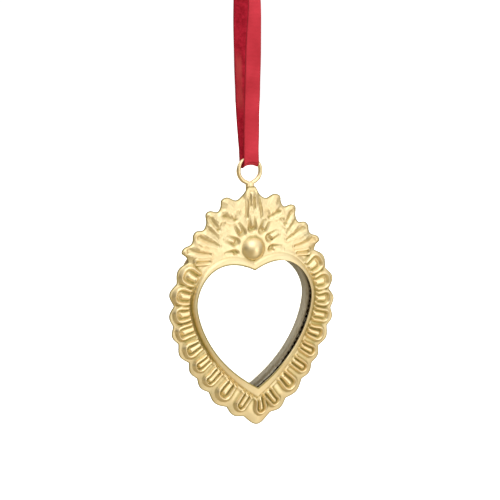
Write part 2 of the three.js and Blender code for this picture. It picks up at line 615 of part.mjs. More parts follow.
/** Hanging eye: up one leg, out through the throat, round the ring and down the other leg. */
function hangingEye() {
  const legX = LEG_SPACING / 2;
  const bendX = legX + THROAT_BEND;
  const bendZ = EYE_Z - Math.sqrt((EYE_RADIUS + THROAT_BEND) ** 2 - bendX ** 2);
  const throat = Math.atan2(EYE_Z - bendZ, bendX);
  const half = [[legX, LEG_END_Z], [legX, (LEG_END_Z + bendZ) / 2]];
  for (let i = 0; i <= WIRE_STEPS.bend; i++) {
    const angle = Math.PI - (throat * i) / WIRE_STEPS.bend;
    half.push([bendX + THROAT_BEND * Math.cos(angle), bendZ + THROAT_BEND * Math.sin(angle)]);
  }
  for (let i = 1; i <= WIRE_STEPS.ring; i++) {
    const angle = -throat + ((Math.PI / 2 + throat) * i) / WIRE_STEPS.ring;
    half.push([EYE_RADIUS * Math.cos(angle), EYE_Z + EYE_RADIUS * Math.sin(angle)]);
  }
  const line = [...half, ...half.slice(0, -1).map(mirrorX).reverse()];
  const rings = line.map((p, i) => {
    const before = line[Math.max(0, i - 1)];
    const after = line[Math.min(line.length - 1, i + 1)];
    const { left } = heading(before, after);
    return Array.from({ length: WIRE_STEPS.round }, (_, j) => {
      const angle = (2 * Math.PI * j) / WIRE_STEPS.round;
      const side = add(p, left, (WIRE / 2) * Math.cos(angle));
      return [side[0], EYE_Y - (WIRE / 2) * Math.sin(angle), side[1]];
    });
  });
  return loft(rings);
}

/**
 * Ribbon: down in front, round the fold under the eye's wire, up behind; drawn in the y-z plane.
 * The fold clears the wire as it swings, at the top of the ring and at the ribbon's sides alike.
 */
function ribbon() {
  const slant = Math.asin(RIBBON_FOLD_WIDTH / 2 / EYE_RADIUS);
  const sideDrop = EYE_RADIUS * (1 - Math.cos(slant)) - FOLD_DEPTH;
  const wireReach = Math.max(FOLD_DEPTH + WIRE / 2, sideDrop + WIRE / 2 / Math.cos(slant));
  const foldRadius = wireReach + SWING_PLAY + RIBBON_THICKNESS / 2;
  const fold = [];
  for (let i = 0; i <= RIBBON_STEPS.fold; i++) {
    const angle = Math.PI + (Math.PI * i) / RIBBON_STEPS.fold;
    fold.push([EYE_Y + foldRadius * Math.cos(angle), -RIBBON_DROP + foldRadius * Math.sin(angle)]);
  }
  const points = [...FRONT_STRAND, ...fold, ...BACK_STRAND];
  const spline = new THREE.CatmullRomCurve3(points.map(([y, z]) => new THREE.Vector3(0, y, z)));
  const line = [];
  for (let i = 0; i <= RIBBON_STEPS.length; i++) {
    const p = spline.getPoint(i / RIBBON_STEPS.length);
    line.push([p.y, p.z]);
  }
  const rings = line.map((p, i) => {
    const before = line[Math.max(0, i - 1)];
    const after = line[Math.min(line.length - 1, i + 1)];
    const { left } = heading(before, after);
    const gather = smoothstep(p[1] + RIBBON_DROP, ...GATHER);
    const halfWidth = lerp(RIBBON_FOLD_WIDTH, RIBBON_WIDTH, gather) / 2;
    return RIBBON_SECTION.map(([across, through]) => {
      const [y, z] = add(p, left, (through * RIBBON_THICKNESS) / 2);
      return [-across * halfWidth, y, z];
    });
  });
  return loft(rings);
}

/** Knot that ties the ribbon's ends, with its two cut tails standing up. */
function ribbonKnot() {
  const profile = KNOT_PROFILE.map(([r, z]) => new THREE.Vector2(r, z));
  const lump = new THREE.LatheGeometry(profile, KNOT_SIDES);
  lump.rotateX(Math.PI / 2);
  lump.scale(1, KNOT_FLATTEN, 1);
  const bottom = FRONT_STRAND[0][1] + CLEARANCE;
  const top = KNOT_PROFILE[KNOT_PROFILE.length - 1][1];
  lump.translate(0, 0, bottom);
  let solid = toSolid(lump);
  for (const side of [-1, 1]) {
    const tail = new THREE.BoxGeometry(TAIL_WIDTH, RIBBON_THICKNESS, TAIL_LENGTH + top / 2);
    tail.translate(0, (side * TAIL_SPACING) / 2, (TAIL_LENGTH + top / 2) / 2);
    tail.rotateX(THREE.MathUtils.degToRad(-side * TAIL_SPREAD));
    tail.translate(0, 0, bottom + top / 2);
    solid = solid.add(toSolid(tail));
  }
  return fromSolid(solid);
}

function piece(name, geometry, color, roughness, metalness) {
  const mesh = new THREE.Mesh(geometry, new THREE.MeshStandardMaterial({ color, roughness, metalness }));
  mesh.name = name;
  return mesh;
}

const evenMargin = (margin) => ({ top: margin, side: margin, tip: margin });
const glassOutline = heartLoop(evenMargin(GLASS_MARGIN), GLASS_STEPS);
const cardOutline = heartLoop(evenMargin(CARD_MARGIN), CARD_STEPS);
const glassBack = GLASS_SETBACK + GLASS;

const pressed = reliefMesh();

const plateGroup = new THREE.Group();
plateGroup.position.z = PLATE_Z;
plateGroup.add(
  piece('front_plate', sheetGeometry(pressed.points, pressed.heights, pressed.triangles, SHEET),
    0xe2c48a, 0.35, 1),
  piece('mirror_glass', flatPiece(glassOutline, GLASS_SETBACK, GLASS), 0xf4f6f6, 0.03, 1),
  piece('backing_card', flatPiece(cardOutline, glassBack + CLEARANCE, CARD), 0x8f8676, 0.9, 0),
  piece('back_plate', backPlate(pressed), 0xb08a4e, 0.45, 1),
  piece('hanging_eye', hangingEye(), 0xe6c98f, 0.3, 1),
);

const ornament = new THREE.Group();
ornament.add(
  plateGroup,
  piece('ribbon', ribbon(), 0xb8283c, 0.9, 0),
  piece('ribbon_knot', ribbonKnot(), 0xa92036, 0.9, 0),
);

export default ornament;
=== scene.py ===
import bpy
import bmesh
import math
import numpy as np
from mathutils import Matrix, Vector


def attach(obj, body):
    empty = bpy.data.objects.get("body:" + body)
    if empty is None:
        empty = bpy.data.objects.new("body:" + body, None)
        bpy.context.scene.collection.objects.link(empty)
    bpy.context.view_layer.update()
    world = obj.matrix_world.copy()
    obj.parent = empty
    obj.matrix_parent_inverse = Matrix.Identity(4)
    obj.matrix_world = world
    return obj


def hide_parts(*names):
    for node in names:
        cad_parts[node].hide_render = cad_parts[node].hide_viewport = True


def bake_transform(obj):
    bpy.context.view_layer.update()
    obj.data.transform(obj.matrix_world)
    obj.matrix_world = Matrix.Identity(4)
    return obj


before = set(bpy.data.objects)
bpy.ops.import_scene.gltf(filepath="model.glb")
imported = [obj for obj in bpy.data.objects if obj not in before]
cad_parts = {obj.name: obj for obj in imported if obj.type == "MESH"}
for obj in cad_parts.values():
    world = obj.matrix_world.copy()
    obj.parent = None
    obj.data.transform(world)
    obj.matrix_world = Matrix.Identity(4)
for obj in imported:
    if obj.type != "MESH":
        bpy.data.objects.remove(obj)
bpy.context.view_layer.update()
MM = 0.001

# Camera: a portrait lens half a metre off, 25 degrees to the left of the plate's front and 9
# degrees above its middle, tipped a degree and a half as it was held by hand.
VIEW_YAW, VIEW_PITCH, VIEW_ROLL = (math.radians(a) for a in (25.0, 8.97, -1.54))
VIEW_DISTANCE = 522.5 * MM
VIEW_SHIFT = (1.08 * MM, -1.40 * MM)       # how far the sight line passes beside the plate's centre
PLATE_Z = -123.3 * MM                      # the plate's own centre under the hook's seat
SENSOR_WIDTH = 36.0
PICTURE_WIDTH = 0.42 * MM * 500            # 500 pixels, each 0.42 mm at the plate

forward = np.array([math.sin(VIEW_YAW) * math.cos(VIEW_PITCH),
                    math.cos(VIEW_YAW) * math.cos(VIEW_PITCH), -math.sin(VIEW_PITCH)])
level = np.array([math.cos(VIEW_YAW), -math.sin(VIEW_YAW), 0.0])
upright = np.cross(level, forward)
across = math.cos(VIEW_ROLL) * level + math.sin(VIEW_ROLL) * upright
above = math.cos(VIEW_ROLL) * upright - math.sin(VIEW_ROLL) * level
eye_point = (np.array([0, 0, PLATE_Z]) - VIEW_DISTANCE * forward
             - VIEW_SHIFT[0] * across - VIEW_SHIFT[1] * above)

camera = bpy.data.objects.new("camera", bpy.data.cameras.new("camera"))
bpy.context.scene.collection.objects.link(camera)
camera.data.sensor_width = SENSOR_WIDTH
camera.data.lens = SENSOR_WIDTH * VIEW_DISTANCE / PICTURE_WIDTH
axes = np.stack([across, above, -forward], 1)
camera.matrix_world = Matrix([[*row, place] for row, place in zip(axes, eye_point)]
                             + [[0, 0, 0, 1]])
bpy.context.scene.camera = camera
bpy.context.scene.view_settings.view_transform = "Standard"

# Ribbon: a flat velvet ribbon, 7 mm wide, looped through the hanging eye. It goes down in front
# with its plain woven back outward, folds under the wire and comes up behind, so the pile lies
# inside the loop. Both ends go into the knot.
RIBBON_WIDTH, FOLD_WIDTH = 7.0 * MM, 6.9 * MM
RIBBON_THICKNESS, FOLD_THICKNESS = 0.8 * MM, 0.6 * MM    # the pile is pressed flat in the fold
RIBBON_DROP, EYE_Y = 84.0 * MM, 0.9 * MM   # the wire's place under the hook's seat, and in depth
FOLD_RADIUS, FOLD_END = 1.95 * MM, 5 * MM  # its middle line, and how far up it rests on the wire
FOLD_SPREADS = (3 * MM, 11 * MM)           # heights over the wire between which it gets full width
FOLD_SAG = (1.1 * MM, 0.7 * MM)            # how much lower its left and right selvedge hang
FOLD_FLARE = 0.32 * MM                     # and how far they stand off the bent wire
CREASE_DEPTH, EDGE_WAVE = 0.10 * MM, 0.07 * MM
# Both strands in millimetres behind the plate's plane and above the hook's seat, down and up again
FRONT_STRAND = [(-0.7, 2.8), (-1.3, 0.7), (-2.4, -3), (-4.6, -9), (-6.2, -16), (-6.7, -23),
                (-6.1, -34), (-4.9, -47), (-3.3, -60), (-2.0, -72)]
BACK_STRAND = [(3.9, -75), (5.0, -66), (5.5, -50), (5.4, -31), (4.4, -19), (3.4, -11),
               (2.2, -4), (1.3, 0.7), (0.7, 2.8)]
STRAND_TURN, STRAND_SHIFT = -0.36, 0.75 * MM             # of the front strand near the top
TURN_STARTS, TURN_ENDS = (-44 * MM, -14 * MM), (-13 * MM, -4 * MM)
KNOT_MOUTH, GATHERED = 0.7 * MM, 0.7       # it goes into the knot here, narrowed to this share
GATHERS_FROM = -7 * MM
STREAK_X = ((-3.4 * MM, -2.5 * MM), (-0.9 * MM, 0.4 * MM))      # where the nap is stroked flat and a painted sheen lies on it
STREAK_Z = ((-66 * MM, -58 * MM), (-45 * MM, -37 * MM))
RIBBON_STEPS, CURVE_STEPS = 480, 24        # points along it, and from each drawn point to the next
FACE_STEPS, SELVEDGE_STEPS, SELVEDGE_BULGE = 14, 5, 0.055


def mesh_grid(name, points, wrap=(False, False)):
    """Mesh object of quads over a rows x columns x 3 grid, joined to itself where wrap says so.

    Corner (i, j) is followed by (i, j+1), (i+1, j+1) and (i+1, j)."""
    rows, columns = points.shape[:2]
    i, j = np.meshgrid(np.arange(rows - (not wrap[0])), np.arange(columns - (not wrap[1])),
                       indexing="ij")

    def corner(a, b):
        return (a % rows) * columns + b % columns

    quads = np.stack([corner(i, j), corner(i, j + 1), corner(i + 1, j + 1), corner(i + 1, j)], -1)
    mesh = bpy.data.meshes.new(name)
    mesh.from_pydata(points.reshape(-1, 3), [], quads.reshape(-1, 4), shade_flat=False)
    piece = bpy.data.objects.new(name, mesh)
    bpy.context.scene.collection.objects.link(piece)
    return piece


def store(piece, name, values):
    """Keeps one number for each point of the mesh, for its material to read."""
    piece.data.attributes.new(name, "FLOAT", "POINT").data.foreach_set(
        "value", np.asarray(values, np.float32).reshape(-1))


def lay_weave(piece, across, along):
    """UV map of the cloth: the place across and along the ribbon at each point, in metres."""
    corner_of = np.zeros(len(piece.data.loops), np.int32)
    piece.data.loops.foreach_get("vertex_index", corner_of)
    cloth = np.stack([across, along], -1).reshape(-1, 2)
    piece.data.uv_layers.new(name="weave").data.foreach_set(
        "uv", cloth[corner_of].reshape(-1).astype(np.float32))


def weld(piece):
    """Makes one point of those that coincide, at a seam or a pole, and drops faces of no area."""
    work = bmesh.new()
    work.from_mesh(piece.data)
    bmesh.ops.remove_doubles(work, verts=work.verts, dist=1e-7)
    bmesh.ops.dissolve_degenerate(work, edges=work.edges, dist=1e-8)
    work.to_mesh(piece.data)
    work.free()


def spline_through(points):
    """Catmull-Rom curve: between two points it is the cubic whose slope at each is half the step
    from the point before to the point after."""
    p = np.vstack([2 * points[0] - points[1], points, 2 * points[-1] - points[-2]])
    u = np.linspace(0, 1, CURVE_STEPS, endpoint=False)[None, :, None]
    a, b, c, d = (p[k:len(p) - 3 + k, None, :] for k in range(4))
    curve = b + 0.5 * u * (c - a + u * (2 * a - 5 * b + 4 * c - d + u * (3 * (b - c) + d - a)))
    return np.vstack([curve.reshape(-1, points.shape[1]), points[-1]])


def run_of(points):
    """Length along a broken line from its start to each of its points."""
    return np.concatenate([[0], np.cumsum(np.linalg.norm(np.diff(points, axis=0), axis=1))])


def even(points, count):
    """Points at even steps of length along a broken line."""
    run = run_of(points)
    s = np.linspace(0, run[-1], count)
    return np.stack([np.interp(s, run, points[:, k]) for k in (0, 1)], 1)


def ease(x, low, high):
    """Smooth step from 0 at low to 1 at high."""
    t = np.clip((x - low) / (high - low), 0, 1)
    return t * t * (3 - 2 * t)


def plateau(x, rise, fall):
    """Smooth step up over the first span, held at 1, and down again over the second."""
    return ease(x, *rise) * (1 - ease(x, *fall))


def unit_slope(line):
    """Direction of a plane line at each of its points, with length 1."""
    slope = np.gradient(line, axis=0)
    return slope / np.linalg.norm(slope, axis=1, keepdims=True)


def band(name, points, u, pile, along):
    """Closed band of ribbon from its rings of points, with its weave and its marks.

    Each end closes on the ring's own middle. The mark pile is 1 on the velvet side, and selvedge
    on the bound edges."""
    def close(rings):
        return np.concatenate([rings[:1], rings, rings[-1:]])[:, ::-1]

    points = close(points)
    points[[0, -1]] = points[[0, -1]].mean(1, keepdims=True)
    piece = mesh_grid(name, points, wrap=(False, True))
    store(piece, "pile", close(pile * 1.0))
    store(piece, "selvedge", close(ease(np.abs(u), 0.90, 0.99)))
    lay_weave(piece, close(u * RIBBON_WIDTH / 2), close(along))
    weld(piece)
    return piece


turn = np.radians(np.arange(180, 361, 15))
fold = np.stack([EYE_Y + FOLD_RADIUS * np.cos(turn), -RIBBON_DROP + FOLD_RADIUS * np.sin(turn)], 1)
ribbon_line = even(spline_through(
    np.vstack([np.array(FRONT_STRAND) * MM, fold, np.array(BACK_STRAND) * MM])), RIBBON_STEPS)
slope = unit_slope(ribbon_line)
outward = np.stack([slope[:, 1], -slope[:, 0]], 1)       # from the loop's inside to its outside
height = ribbon_line[:, 1] + RIBBON_DROP
half_width = 0.5 * (FOLD_WIDTH + (RIBBON_WIDTH - FOLD_WIDTH) * ease(height, *FOLD_SPREADS))
half_width *= 1 - (1 - GATHERED) * ease(ribbon_line[:, 1], GATHERS_FROM, KNOT_MOUTH)

# The section runs across the outer face, round one selvedge, back over the pile and round the
# other: a flat band whose ends are half round. u goes across it and v through it, from -1 to 1.
face = np.linspace(-1, 1, FACE_STEPS)
bend = np.linspace(-np.pi / 2, np.pi / 2, SELVEDGE_STEPS + 2)[1:-1]
section_u = np.concatenate([face, 1 + SELVEDGE_BULGE * np.cos(bend),
                            face[::-1], -1 - SELVEDGE_BULGE * np.cos(bend)]) / (1 + SELVEDGE_BULGE)
section_v = np.concatenate([np.full(FACE_STEPS, 1.0), -np.sin(bend),
                            np.full(FACE_STEPS, -1.0), np.sin(bend)])
u, run = np.meshgrid(section_u, np.linspace(0, 1, RIBBON_STEPS))
v = np.broadcast_to(section_v, u.shape)
# waves along the run crease its middle and ruffle its selvedges, except where the wire holds it
rest_on_wire = 1 - ease(height, 0, FOLD_END)[:, None]
sag = np.where(u < 0, *FOLD_SAG) * u * u * rest_on_wire
crease = CREASE_DEPTH * np.sin(37 * run + 2.1 * u) * (1 - rest_on_wire) * (1 - u * u)
wavy = EDGE_WAVE * np.sin(61 * run + 1.3 * np.sin(19 * run)) * (np.abs(u) ** 3)
flare = FOLD_FLARE * u ** 4 * rest_on_wire
thickness = RIBBON_THICKNESS + (FOLD_THICKNESS - RIBBON_THICKNESS) * rest_on_wire
lift = v * thickness / 2 * (1 - 0.25 * u ** 6) + crease + wavy + flare
# the front strand turns a little above its middle, and back below the knot
turned = (run < 0.5) * plateau(ribbon_line[:, 1], TURN_STARTS, TURN_ENDS)[:, None]
x = u * half_width[:, None]
points = np.stack([
    x * np.cos(STRAND_TURN * turned) + STRAND_SHIFT * turned,
    ribbon_line[:, :1] + outward[:, :1] * lift - x * np.sin(STRAND_TURN * turned),
    ribbon_line[:, 1:] + outward[:, 1:] * lift - sag,
], -1)
hanging = ribbon_line[ribbon_line[:, 1] <= KNOT_MOUTH]
ribbon_length = float(run_of(hanging)[-1])
ribbon = band("velvet_ribbon", points, u, v < 0, run * ribbon_length)
place = np.zeros(3 * len(ribbon.data.vertices), np.float32)
ribbon.data.vertices.foreach_get("co", place)
at_x, at_y, at_z = place.reshape(-1, 3).T
# the streak where the nap is stroked flat; its lighter colour is painted sheen
store(ribbon, "brushed_sheen", (at_y > EYE_Y) * plateau(at_x, *STREAK_X) * plateau(at_z, *STREAK_Z))


def node(tree, kind, **settings):
    """A shader node with its properties and, by their names or places, its unlinked inputs set."""
    made = tree.nodes.new(kind)
    for key, value in settings.items():
        if key == "inputs":
            for name, number in value.items():
                made.inputs[name].default_value = number
        else:
            setattr(made, key, value)
    return made


def wire(start, end):
    """Links an output (node, name) to an input (node, name)."""
    start[0].id_data.links.new(start[0].outputs[start[1]], end[0].inputs[end[1]])


def new_material(name, constants):
    """A material whose Principled BSDF has these constants; gives it, its tree and the BSDF."""
    material = bpy.data.materials.new(name)
    material.use_nodes = True
    tree = material.node_tree
    tree.nodes.clear()
    shader = node(tree, "ShaderNodeBsdfPrincipled", inputs=constants)
    wire((shader, "BSDF"), (node(tree, "ShaderNodeOutputMaterial"), "Surface"))
    return material, tree, shader


def is_output(value):
    """True for an output (node, name), and not for a number or a colour."""
    return isinstance(value, tuple) and isinstance(value[0], bpy.types.Node)


def blend_colours(mask, first, second):
    """Mix of two colours by a mask, as an output; each is a value or an output itself."""
    tree = next(filter(is_output, (mask, first, second)))[0].id_data
    mix = node(tree, "ShaderNodeMix", data_type="RGBA")
    # the colour sockets of a Mix node come after those for numbers and vectors
    for place, value in ((0, mask), (6, first), (7, second)):
        if is_output(value):
            wire(value, (mix, place))
        else:
            mix.inputs[place].default_value = (*value, 1) if place else value
    return mix, 2


def remap(source, low, high, new_low=0.0, new_high=1.0):
    """Map Range node on an output, held between its two ends."""
    ranged = node(source[0].id_data, "ShaderNodeMapRange", inputs={
        "From Min": low, "From Max": high, "To Min": new_low, "To Max": new_high})
    wire(source, (ranged, "Value"))
    return ranged, "Result"


def math_node(kind, a, b=None):
    """Math node; each operand is a number or an output."""
    made = node(next(filter(is_output, (a, b)))[0].id_data, "ShaderNodeMath", operation=kind)
    for k, value in enumerate((a, b)):
        if is_output(value):
            wire(value, (made, k))
        elif value is not None:
            made.inputs[k].default_value = value
    return made, "Value"


def add(a, b):
    """Sum of two numbers or outputs."""
    return math_node("ADD", a, b)


def multiply(a, b):
    """Product of two numbers or outputs."""
    return math_node("MULTIPLY", a, b)


def mark(tree, name):
    """The number that each point of the mesh keeps under this name, as an output."""
    return node(tree, "ShaderNodeAttribute", attribute_name=name), "Fac"


def own_place(tree):
    """The piece's own coordinates, as an output."""
    return node(tree, "ShaderNodeTexCoord"), "Object"


def noise(tree, scale, detail, roughness=0.5, distortion=0.0, place=None):
    """Noise over the piece's own coordinates, or over the place given, as an output."""
    made = node(tree, "ShaderNodeTexNoise", inputs={
        "Scale": scale, "Detail": detail, "Roughness": roughness, "Distortion": distortion})
    wire(place or own_place(tree), (made, "Vector"))
    return made, "Fac"


def bump(shader, height, strength, distance):
    """Bump node that turns a height into the shader's normal."""
    made = node(shader.id_data, "ShaderNodeBump",
                inputs={"Strength": strength, "Distance": distance})
    wire(height, (made, "Height"))
    wire((made, "Normal"), (shader, "Normal"))


VELVET_PILE, VELVET_PILE_LIGHT = (0.40, 0.006, 0.026), (0.66, 0.024, 0.062)
VELVET_PILE_SHEEN = (0.62, 0.075, 0.085)    # where the nap has been stroked the other way: the nap is real, its lighter greyer tone is painted sheen
VELVET_BACK, VELVET_BACK_DARK = (0.75, 0.052, 0.088), (0.57, 0.032, 0.056)
SELVEDGE = (0.26, 0.008, 0.020)

velvet, tree, shader = new_material("red_velvet", {
    "Sheen Weight": 0.55, "Sheen Roughness": 0.35, "Sheen Tint": (1.0, 0.42, 0.45, 1),
    "Specular IOR Level": 0.15})
pile, edge, brushed_sheen = (mark(tree, name) for name in ("pile", "selvedge", "brushed_sheen"))
crushed, broad, tuft = noise(tree, 520, 5, 0.65), noise(tree, 90, 2), noise(tree, 3200, 2, 0.6)
rib = node(tree, "ShaderNodeTexWave", wave_type="BANDS", bands_direction="Y",
           inputs={"Scale": 620.0, "Distortion": 0.6, "Detail": 1.0, "Detail Scale": 2.0})
wire((node(tree, "ShaderNodeUVMap", uv_map="weave"), "UV"), (rib, "Vector"))
pile_colour = blend_colours(remap(crushed, 0.35, 0.68), VELVET_PILE, VELVET_PILE_LIGHT)
# painted sheen: the pile turns lighter and greyer along the streak of stroked nap
sheen_streak = multiply(brushed_sheen, remap(broad, 0.25, 0.6, 0.35, 0.9))
pile_colour = blend_colours(sheen_streak, pile_colour, VELVET_PILE_SHEEN)
back_colour = blend_colours(remap(broad, 0.3, 0.7), VELVET_BACK_DARK, VELVET_BACK)
bound = multiply(edge, 0.85)
wire(blend_colours(bound, blend_colours(pile, back_colour, pile_colour), SELVEDGE),
     (shader, "Base Color"))
wire(remap(tuft, 0.3, 0.7, 0.75, 0.95), (shader, "Roughness"))
# the height is the pile's tufts on one side and the woven ribs on the other
pile_height = add(multiply(tuft, 0.5), crushed)
weave_height = multiply((rib, "Fac"), 0.35)
woven = math_node("SUBTRACT", 1.0, pile)
bump(shader, add(multiply(pile_height, pile), multiply(weave_height, woven)), 0.6, 0.4 * MM)

ribbon.data.materials.append(velvet)
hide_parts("ribbon")
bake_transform(ribbon)

# Knot: the ribbon's two ends tied in one overhand knot over the hook, with short tails cut on
# the slant. The hook's seat is right under it, in the crotch of the loop.
KNOT_FOOT, KNOT_HEIGHT = 0.3 * MM, 9.5 * MM
KNOT_RADIUS, KNOT_DEPTH = 4.8 * MM, 0.8    # across, and the share of it from front to back
KNOT_BARREL = 2.4                          # the power that draws its outline, 2 for a ball
WRAP_RISE, WRAP_STRAY = 0.10, 0.7          # how far the three turns of cloth stand out, and wander
KNOT_TIGHT, WRAP_GROOVE = 0.93, 0.94       # shares of the radius, drawn tight and between two turns
KNOT_UNEVEN = 0.04
TAIL_LENGTH, TAIL_HIDDEN = 15 * MM, 3 * MM
TAIL_FOOT, TAIL_LEAN, TAIL_BOW = 5.5 * MM, math.radians(16), 0.9 * MM
TAIL_SLANT, TAIL_PINCH = 0.10, 0.55        # shares: of the length cut off, of the width at its foot
TAIL_CURL, TAIL_WAVE = 0.9, 0.12 * MM      # share of the ribbon's width, as it curls, and its ripple
TAIL_STAGGER, TAIL_STEPS = 0.7, 40         # thicknesses of ribbon from the middle to each tail

a, t = np.meshgrid(np.linspace(0, 2 * np.pi, 97)[:-1], np.linspace(0, 1, 49))
wrapped = 3 * np.pi * t + WRAP_STRAY * np.sin(a) + 0.5
radius = (KNOT_TIGHT * KNOT_RADIUS * np.sqrt(1 - np.abs(2 * t - 1) ** KNOT_BARREL)
          * (WRAP_GROOVE + WRAP_RISE * np.abs(np.sin(wrapped)))
          * (1 + KNOT_UNEVEN * np.sin(2 * a + 5 * t)))
points = np.stack([radius * np.cos(a), KNOT_DEPTH * radius * np.sin(a),
                   KNOT_FOOT + KNOT_HEIGHT * (0.02 + 0.96 * t)], -1)
knot = mesh_grid("ribbon_knot_tied", points, wrap=(False, True))
lay_weave(knot, 3 * RIBBON_WIDTH * t, KNOT_RADIUS * a)
store(knot, "pile", 0.5 + 0.5 * np.sign(np.sin(6 * np.pi * t + 2 * WRAP_STRAY * np.sin(a))))
store(knot, "selvedge", ease(np.abs(np.cos(wrapped)), 0.93, 0.99))
weld(knot)
knot.data.materials.append(velvet)
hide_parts("ribbon_knot")
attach(knot, "hanger")
for side in (-1, 1):
    # a tail runs straight up its lean from its foot in the knot, bows and widens from the pinch
    u, s = np.meshgrid(section_u, np.linspace(0, 1, TAIL_STEPS))
    v = np.broadcast_to(section_v, u.shape)
    length = (TAIL_LENGTH + TAIL_HIDDEN) * s * (1 - TAIL_SLANT * (u * side + 1) / 2)
    bow = TAIL_BOW * side * np.sin(np.pi * s * 0.8)
    through = v * RIBBON_THICKNESS / 2 + bow + TAIL_WAVE * np.sin(9 * s + 2 * u)
    width = u * TAIL_CURL * RIBBON_WIDTH / 2 * (TAIL_PINCH + (1 - TAIL_PINCH) * ease(s, 0.0, 0.35))
    tilt_y, tilt_z = side * math.sin(TAIL_LEAN), math.cos(TAIL_LEAN)
    points = np.stack([
        width, side * RIBBON_THICKNESS * TAIL_STAGGER + through * tilt_z + length * tilt_y,
        KNOT_FOOT + TAIL_FOOT + length * tilt_z - through * tilt_y], -1)
    tail = band("ribbon_tail_front" if side < 0 else "ribbon_tail_back", points, u, v * side < 0,
                s * TAIL_LENGTH)
    tail.data.materials.append(velvet)
    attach(tail, "hanger")

# Hanging eye: one gilt wire bent to a ring. Its two ends come together at the throat and lie side
# by side behind the plate's apex, where they are soldered out of sight.
WIRE, EYE_RADIUS, EYE_Z = 1.8 * MM, 5.0 * MM, 34.8 * MM       # heights are over the plate's centre
LEG_X, LEG_END_Z, THROAT_BEND = 1.0 * MM, 18.5 * MM, 1.2 * MM

bend_x = LEG_X + THROAT_BEND
bend_z = EYE_Z - math.sqrt((EYE_RADIUS + THROAT_BEND) ** 2 - bend_x ** 2)
throat = math.atan2(EYE_Z - bend_z, bend_x)
turn = np.linspace(np.pi, np.pi - throat, 24)
sweep = np.linspace(-throat, np.pi / 2, 130)
wire_half = np.vstack([
    np.stack([np.full(20, LEG_X), np.linspace(LEG_END_Z, bend_z, 20, endpoint=False)], 1),
    np.stack([bend_x + THROAT_BEND * np.cos(turn), bend_z + THROAT_BEND * np.sin(turn)], 1),
    np.stack([EYE_RADIUS * np.cos(sweep), EYE_Z + EYE_RADIUS * np.sin(sweep)], 1)[1:],
])
wire_line = np.vstack([wire_half, (wire_half * [-1, 1])[-2::-1]])
slope = unit_slope(wire_line)
# the section is a circle square to the line, drawn to a point over each cut end
angle, side = np.linspace(0, 2 * np.pi, 33)[:-1], np.stack([-slope[:, 1], slope[:, 0]], 1)
tube = np.concatenate([np.zeros(1), np.full(len(wire_line), WIRE / 2), np.zeros(1)])
path = np.vstack([wire_line[:1], wire_line, wire_line[-1:]])
side = np.vstack([side[:1], side, side[-1:]])
points = np.stack([
    path[:, :1] + side[:, :1] * tube[:, None] * np.cos(angle),
    EYE_Y - tube[:, None] * np.sin(angle),
    path[:, 1:] + side[:, 1:] * tube[:, None] * np.cos(angle) + PLATE_Z,
], -1)
eye = mesh_grid("wire_eye", points, wrap=(False, True))
weld(eye)

# the solder that joins the two legs fills the throat up to a point and thins out to its ends
SOLDER_FOOT, SOLDER_TOP = 26.4 * MM, 30.3 * MM
SOLDER_HALF_WIDTH, SOLDER_FLARE = 1.85 * MM, 0.5 * MM
SOLDER_DEPTH, SOLDER_POINT = 0.95 * MM, 0.7 * MM
angle, t = np.meshgrid(np.linspace(0, 2 * np.pi, 49)[:-1],
                       (1 - np.cos(np.linspace(0, np.pi, 33))) / 2)
blunt = np.sqrt(np.maximum(0, 1 - np.abs(2 * t - 1) ** 7))
points = np.stack([
    (SOLDER_HALF_WIDTH + SOLDER_FLARE * t ** 3) * blunt * np.cos(angle),
    EYE_Y + SOLDER_DEPTH * blunt * np.sin(angle),
    SOLDER_FOOT + (SOLDER_TOP - SOLDER_FOOT) * t
    + SOLDER_POINT * t * t * blunt * np.abs(np.cos(angle)) + PLATE_Z], -1)
throat_solder = mesh_grid("throat_solder", points, wrap=(False, True))
weld(throat_solder)

# Front plate: one sheet of brass, half a millimetre thick, pressed from behind over a die and
# gilt. A heart opening with a half-round bead, a band of U-shaped lobes, one to each scallop of
# the edge, and a crown of pointed teeth round a boss with seven petals.
# All its measures but the sheet's are in millimetres from its own centre, x and z.
SHEET = 0.5 * MM
HEART_WIDEST = (26.6, -19.7)
HEART_NOTCH_Z, HEART_TIP_Z = -7.0, -57.6
HEART_LOBE_PULL, HEART_POINT_PULL = (18.5, 2.8), (21.8, -44.6)
HEART_SHOULDER_PULL, HEART_FLANK_PULL = 7.5, 6.4
NECK, NECK_FLANK, DEEP_NOTCH = (1.7, 28.2), (3.9, 24.8), (29.2, -1.0)
TOOTH_NOTCHES = [(6.9, 22.9), (15.4, 18.7), (21.9, 11.7), (27.9, 6.0)]
TOOTH_TIPS = [(13.4, 23.4), (20.7, 18.1), (26.6, 9.7), (31.9, 2.8)]
TOOTH_RISE, TOOTH_FALL = (0.6, 0.18), (0.55, -0.12)      # where its sides bend, and how far left
SCALLOP_NOTCHES = [(34.6, -9.5), (36.2, -18.8), (36.8, -27.3), (34.8, -34.9), (30.4, -43.4),
                   (27.0, -50.6), (22.0, -57.1), (14.0, -64.7), (6.5, -69.8)]
SCALLOP_BULGES = [2.2, 2.6, 1.9, 1.7, 2.0, 1.5, 1.5, 1.9, 1.7, 4.4]
SCALLOP_POWER = 1.2                        # of the half sine that each bulge follows
LIP_HEIGHT, BEAD_HEIGHT, GROOVE_HEIGHT = 2.15, 2.3, 0.5
BEAD_WIDTH = (3.8, 2.3, 4.2)               # at the heart's top, its sides and its tip
BEAD_RISE = 0.06                           # share of the bead's width that its inner slope takes
BEAD_BROW, BEAD_TILT = (0.85, 0.48), (0.6, 0.28)  # where it drops, how much before: tip, sides
BROW_BLEND = (-50, -34)
CROWN_FOOT, CROWN_FOOT_BLEND = 1.3, (-14, -3)  # the groove rises and ends above the heart's lobes
TIP_FOOT, TIP_BAND = 1.25, 0.8             # and near its tip
FLANGE, SKIRT = 0.2, 4.5                   # the flat rim, and how far from it the field is full
FIELD_RISE, STRIP_FADES = 2, (1.4, 1.1)    # from the bead's foot; strips fade there and at the rim
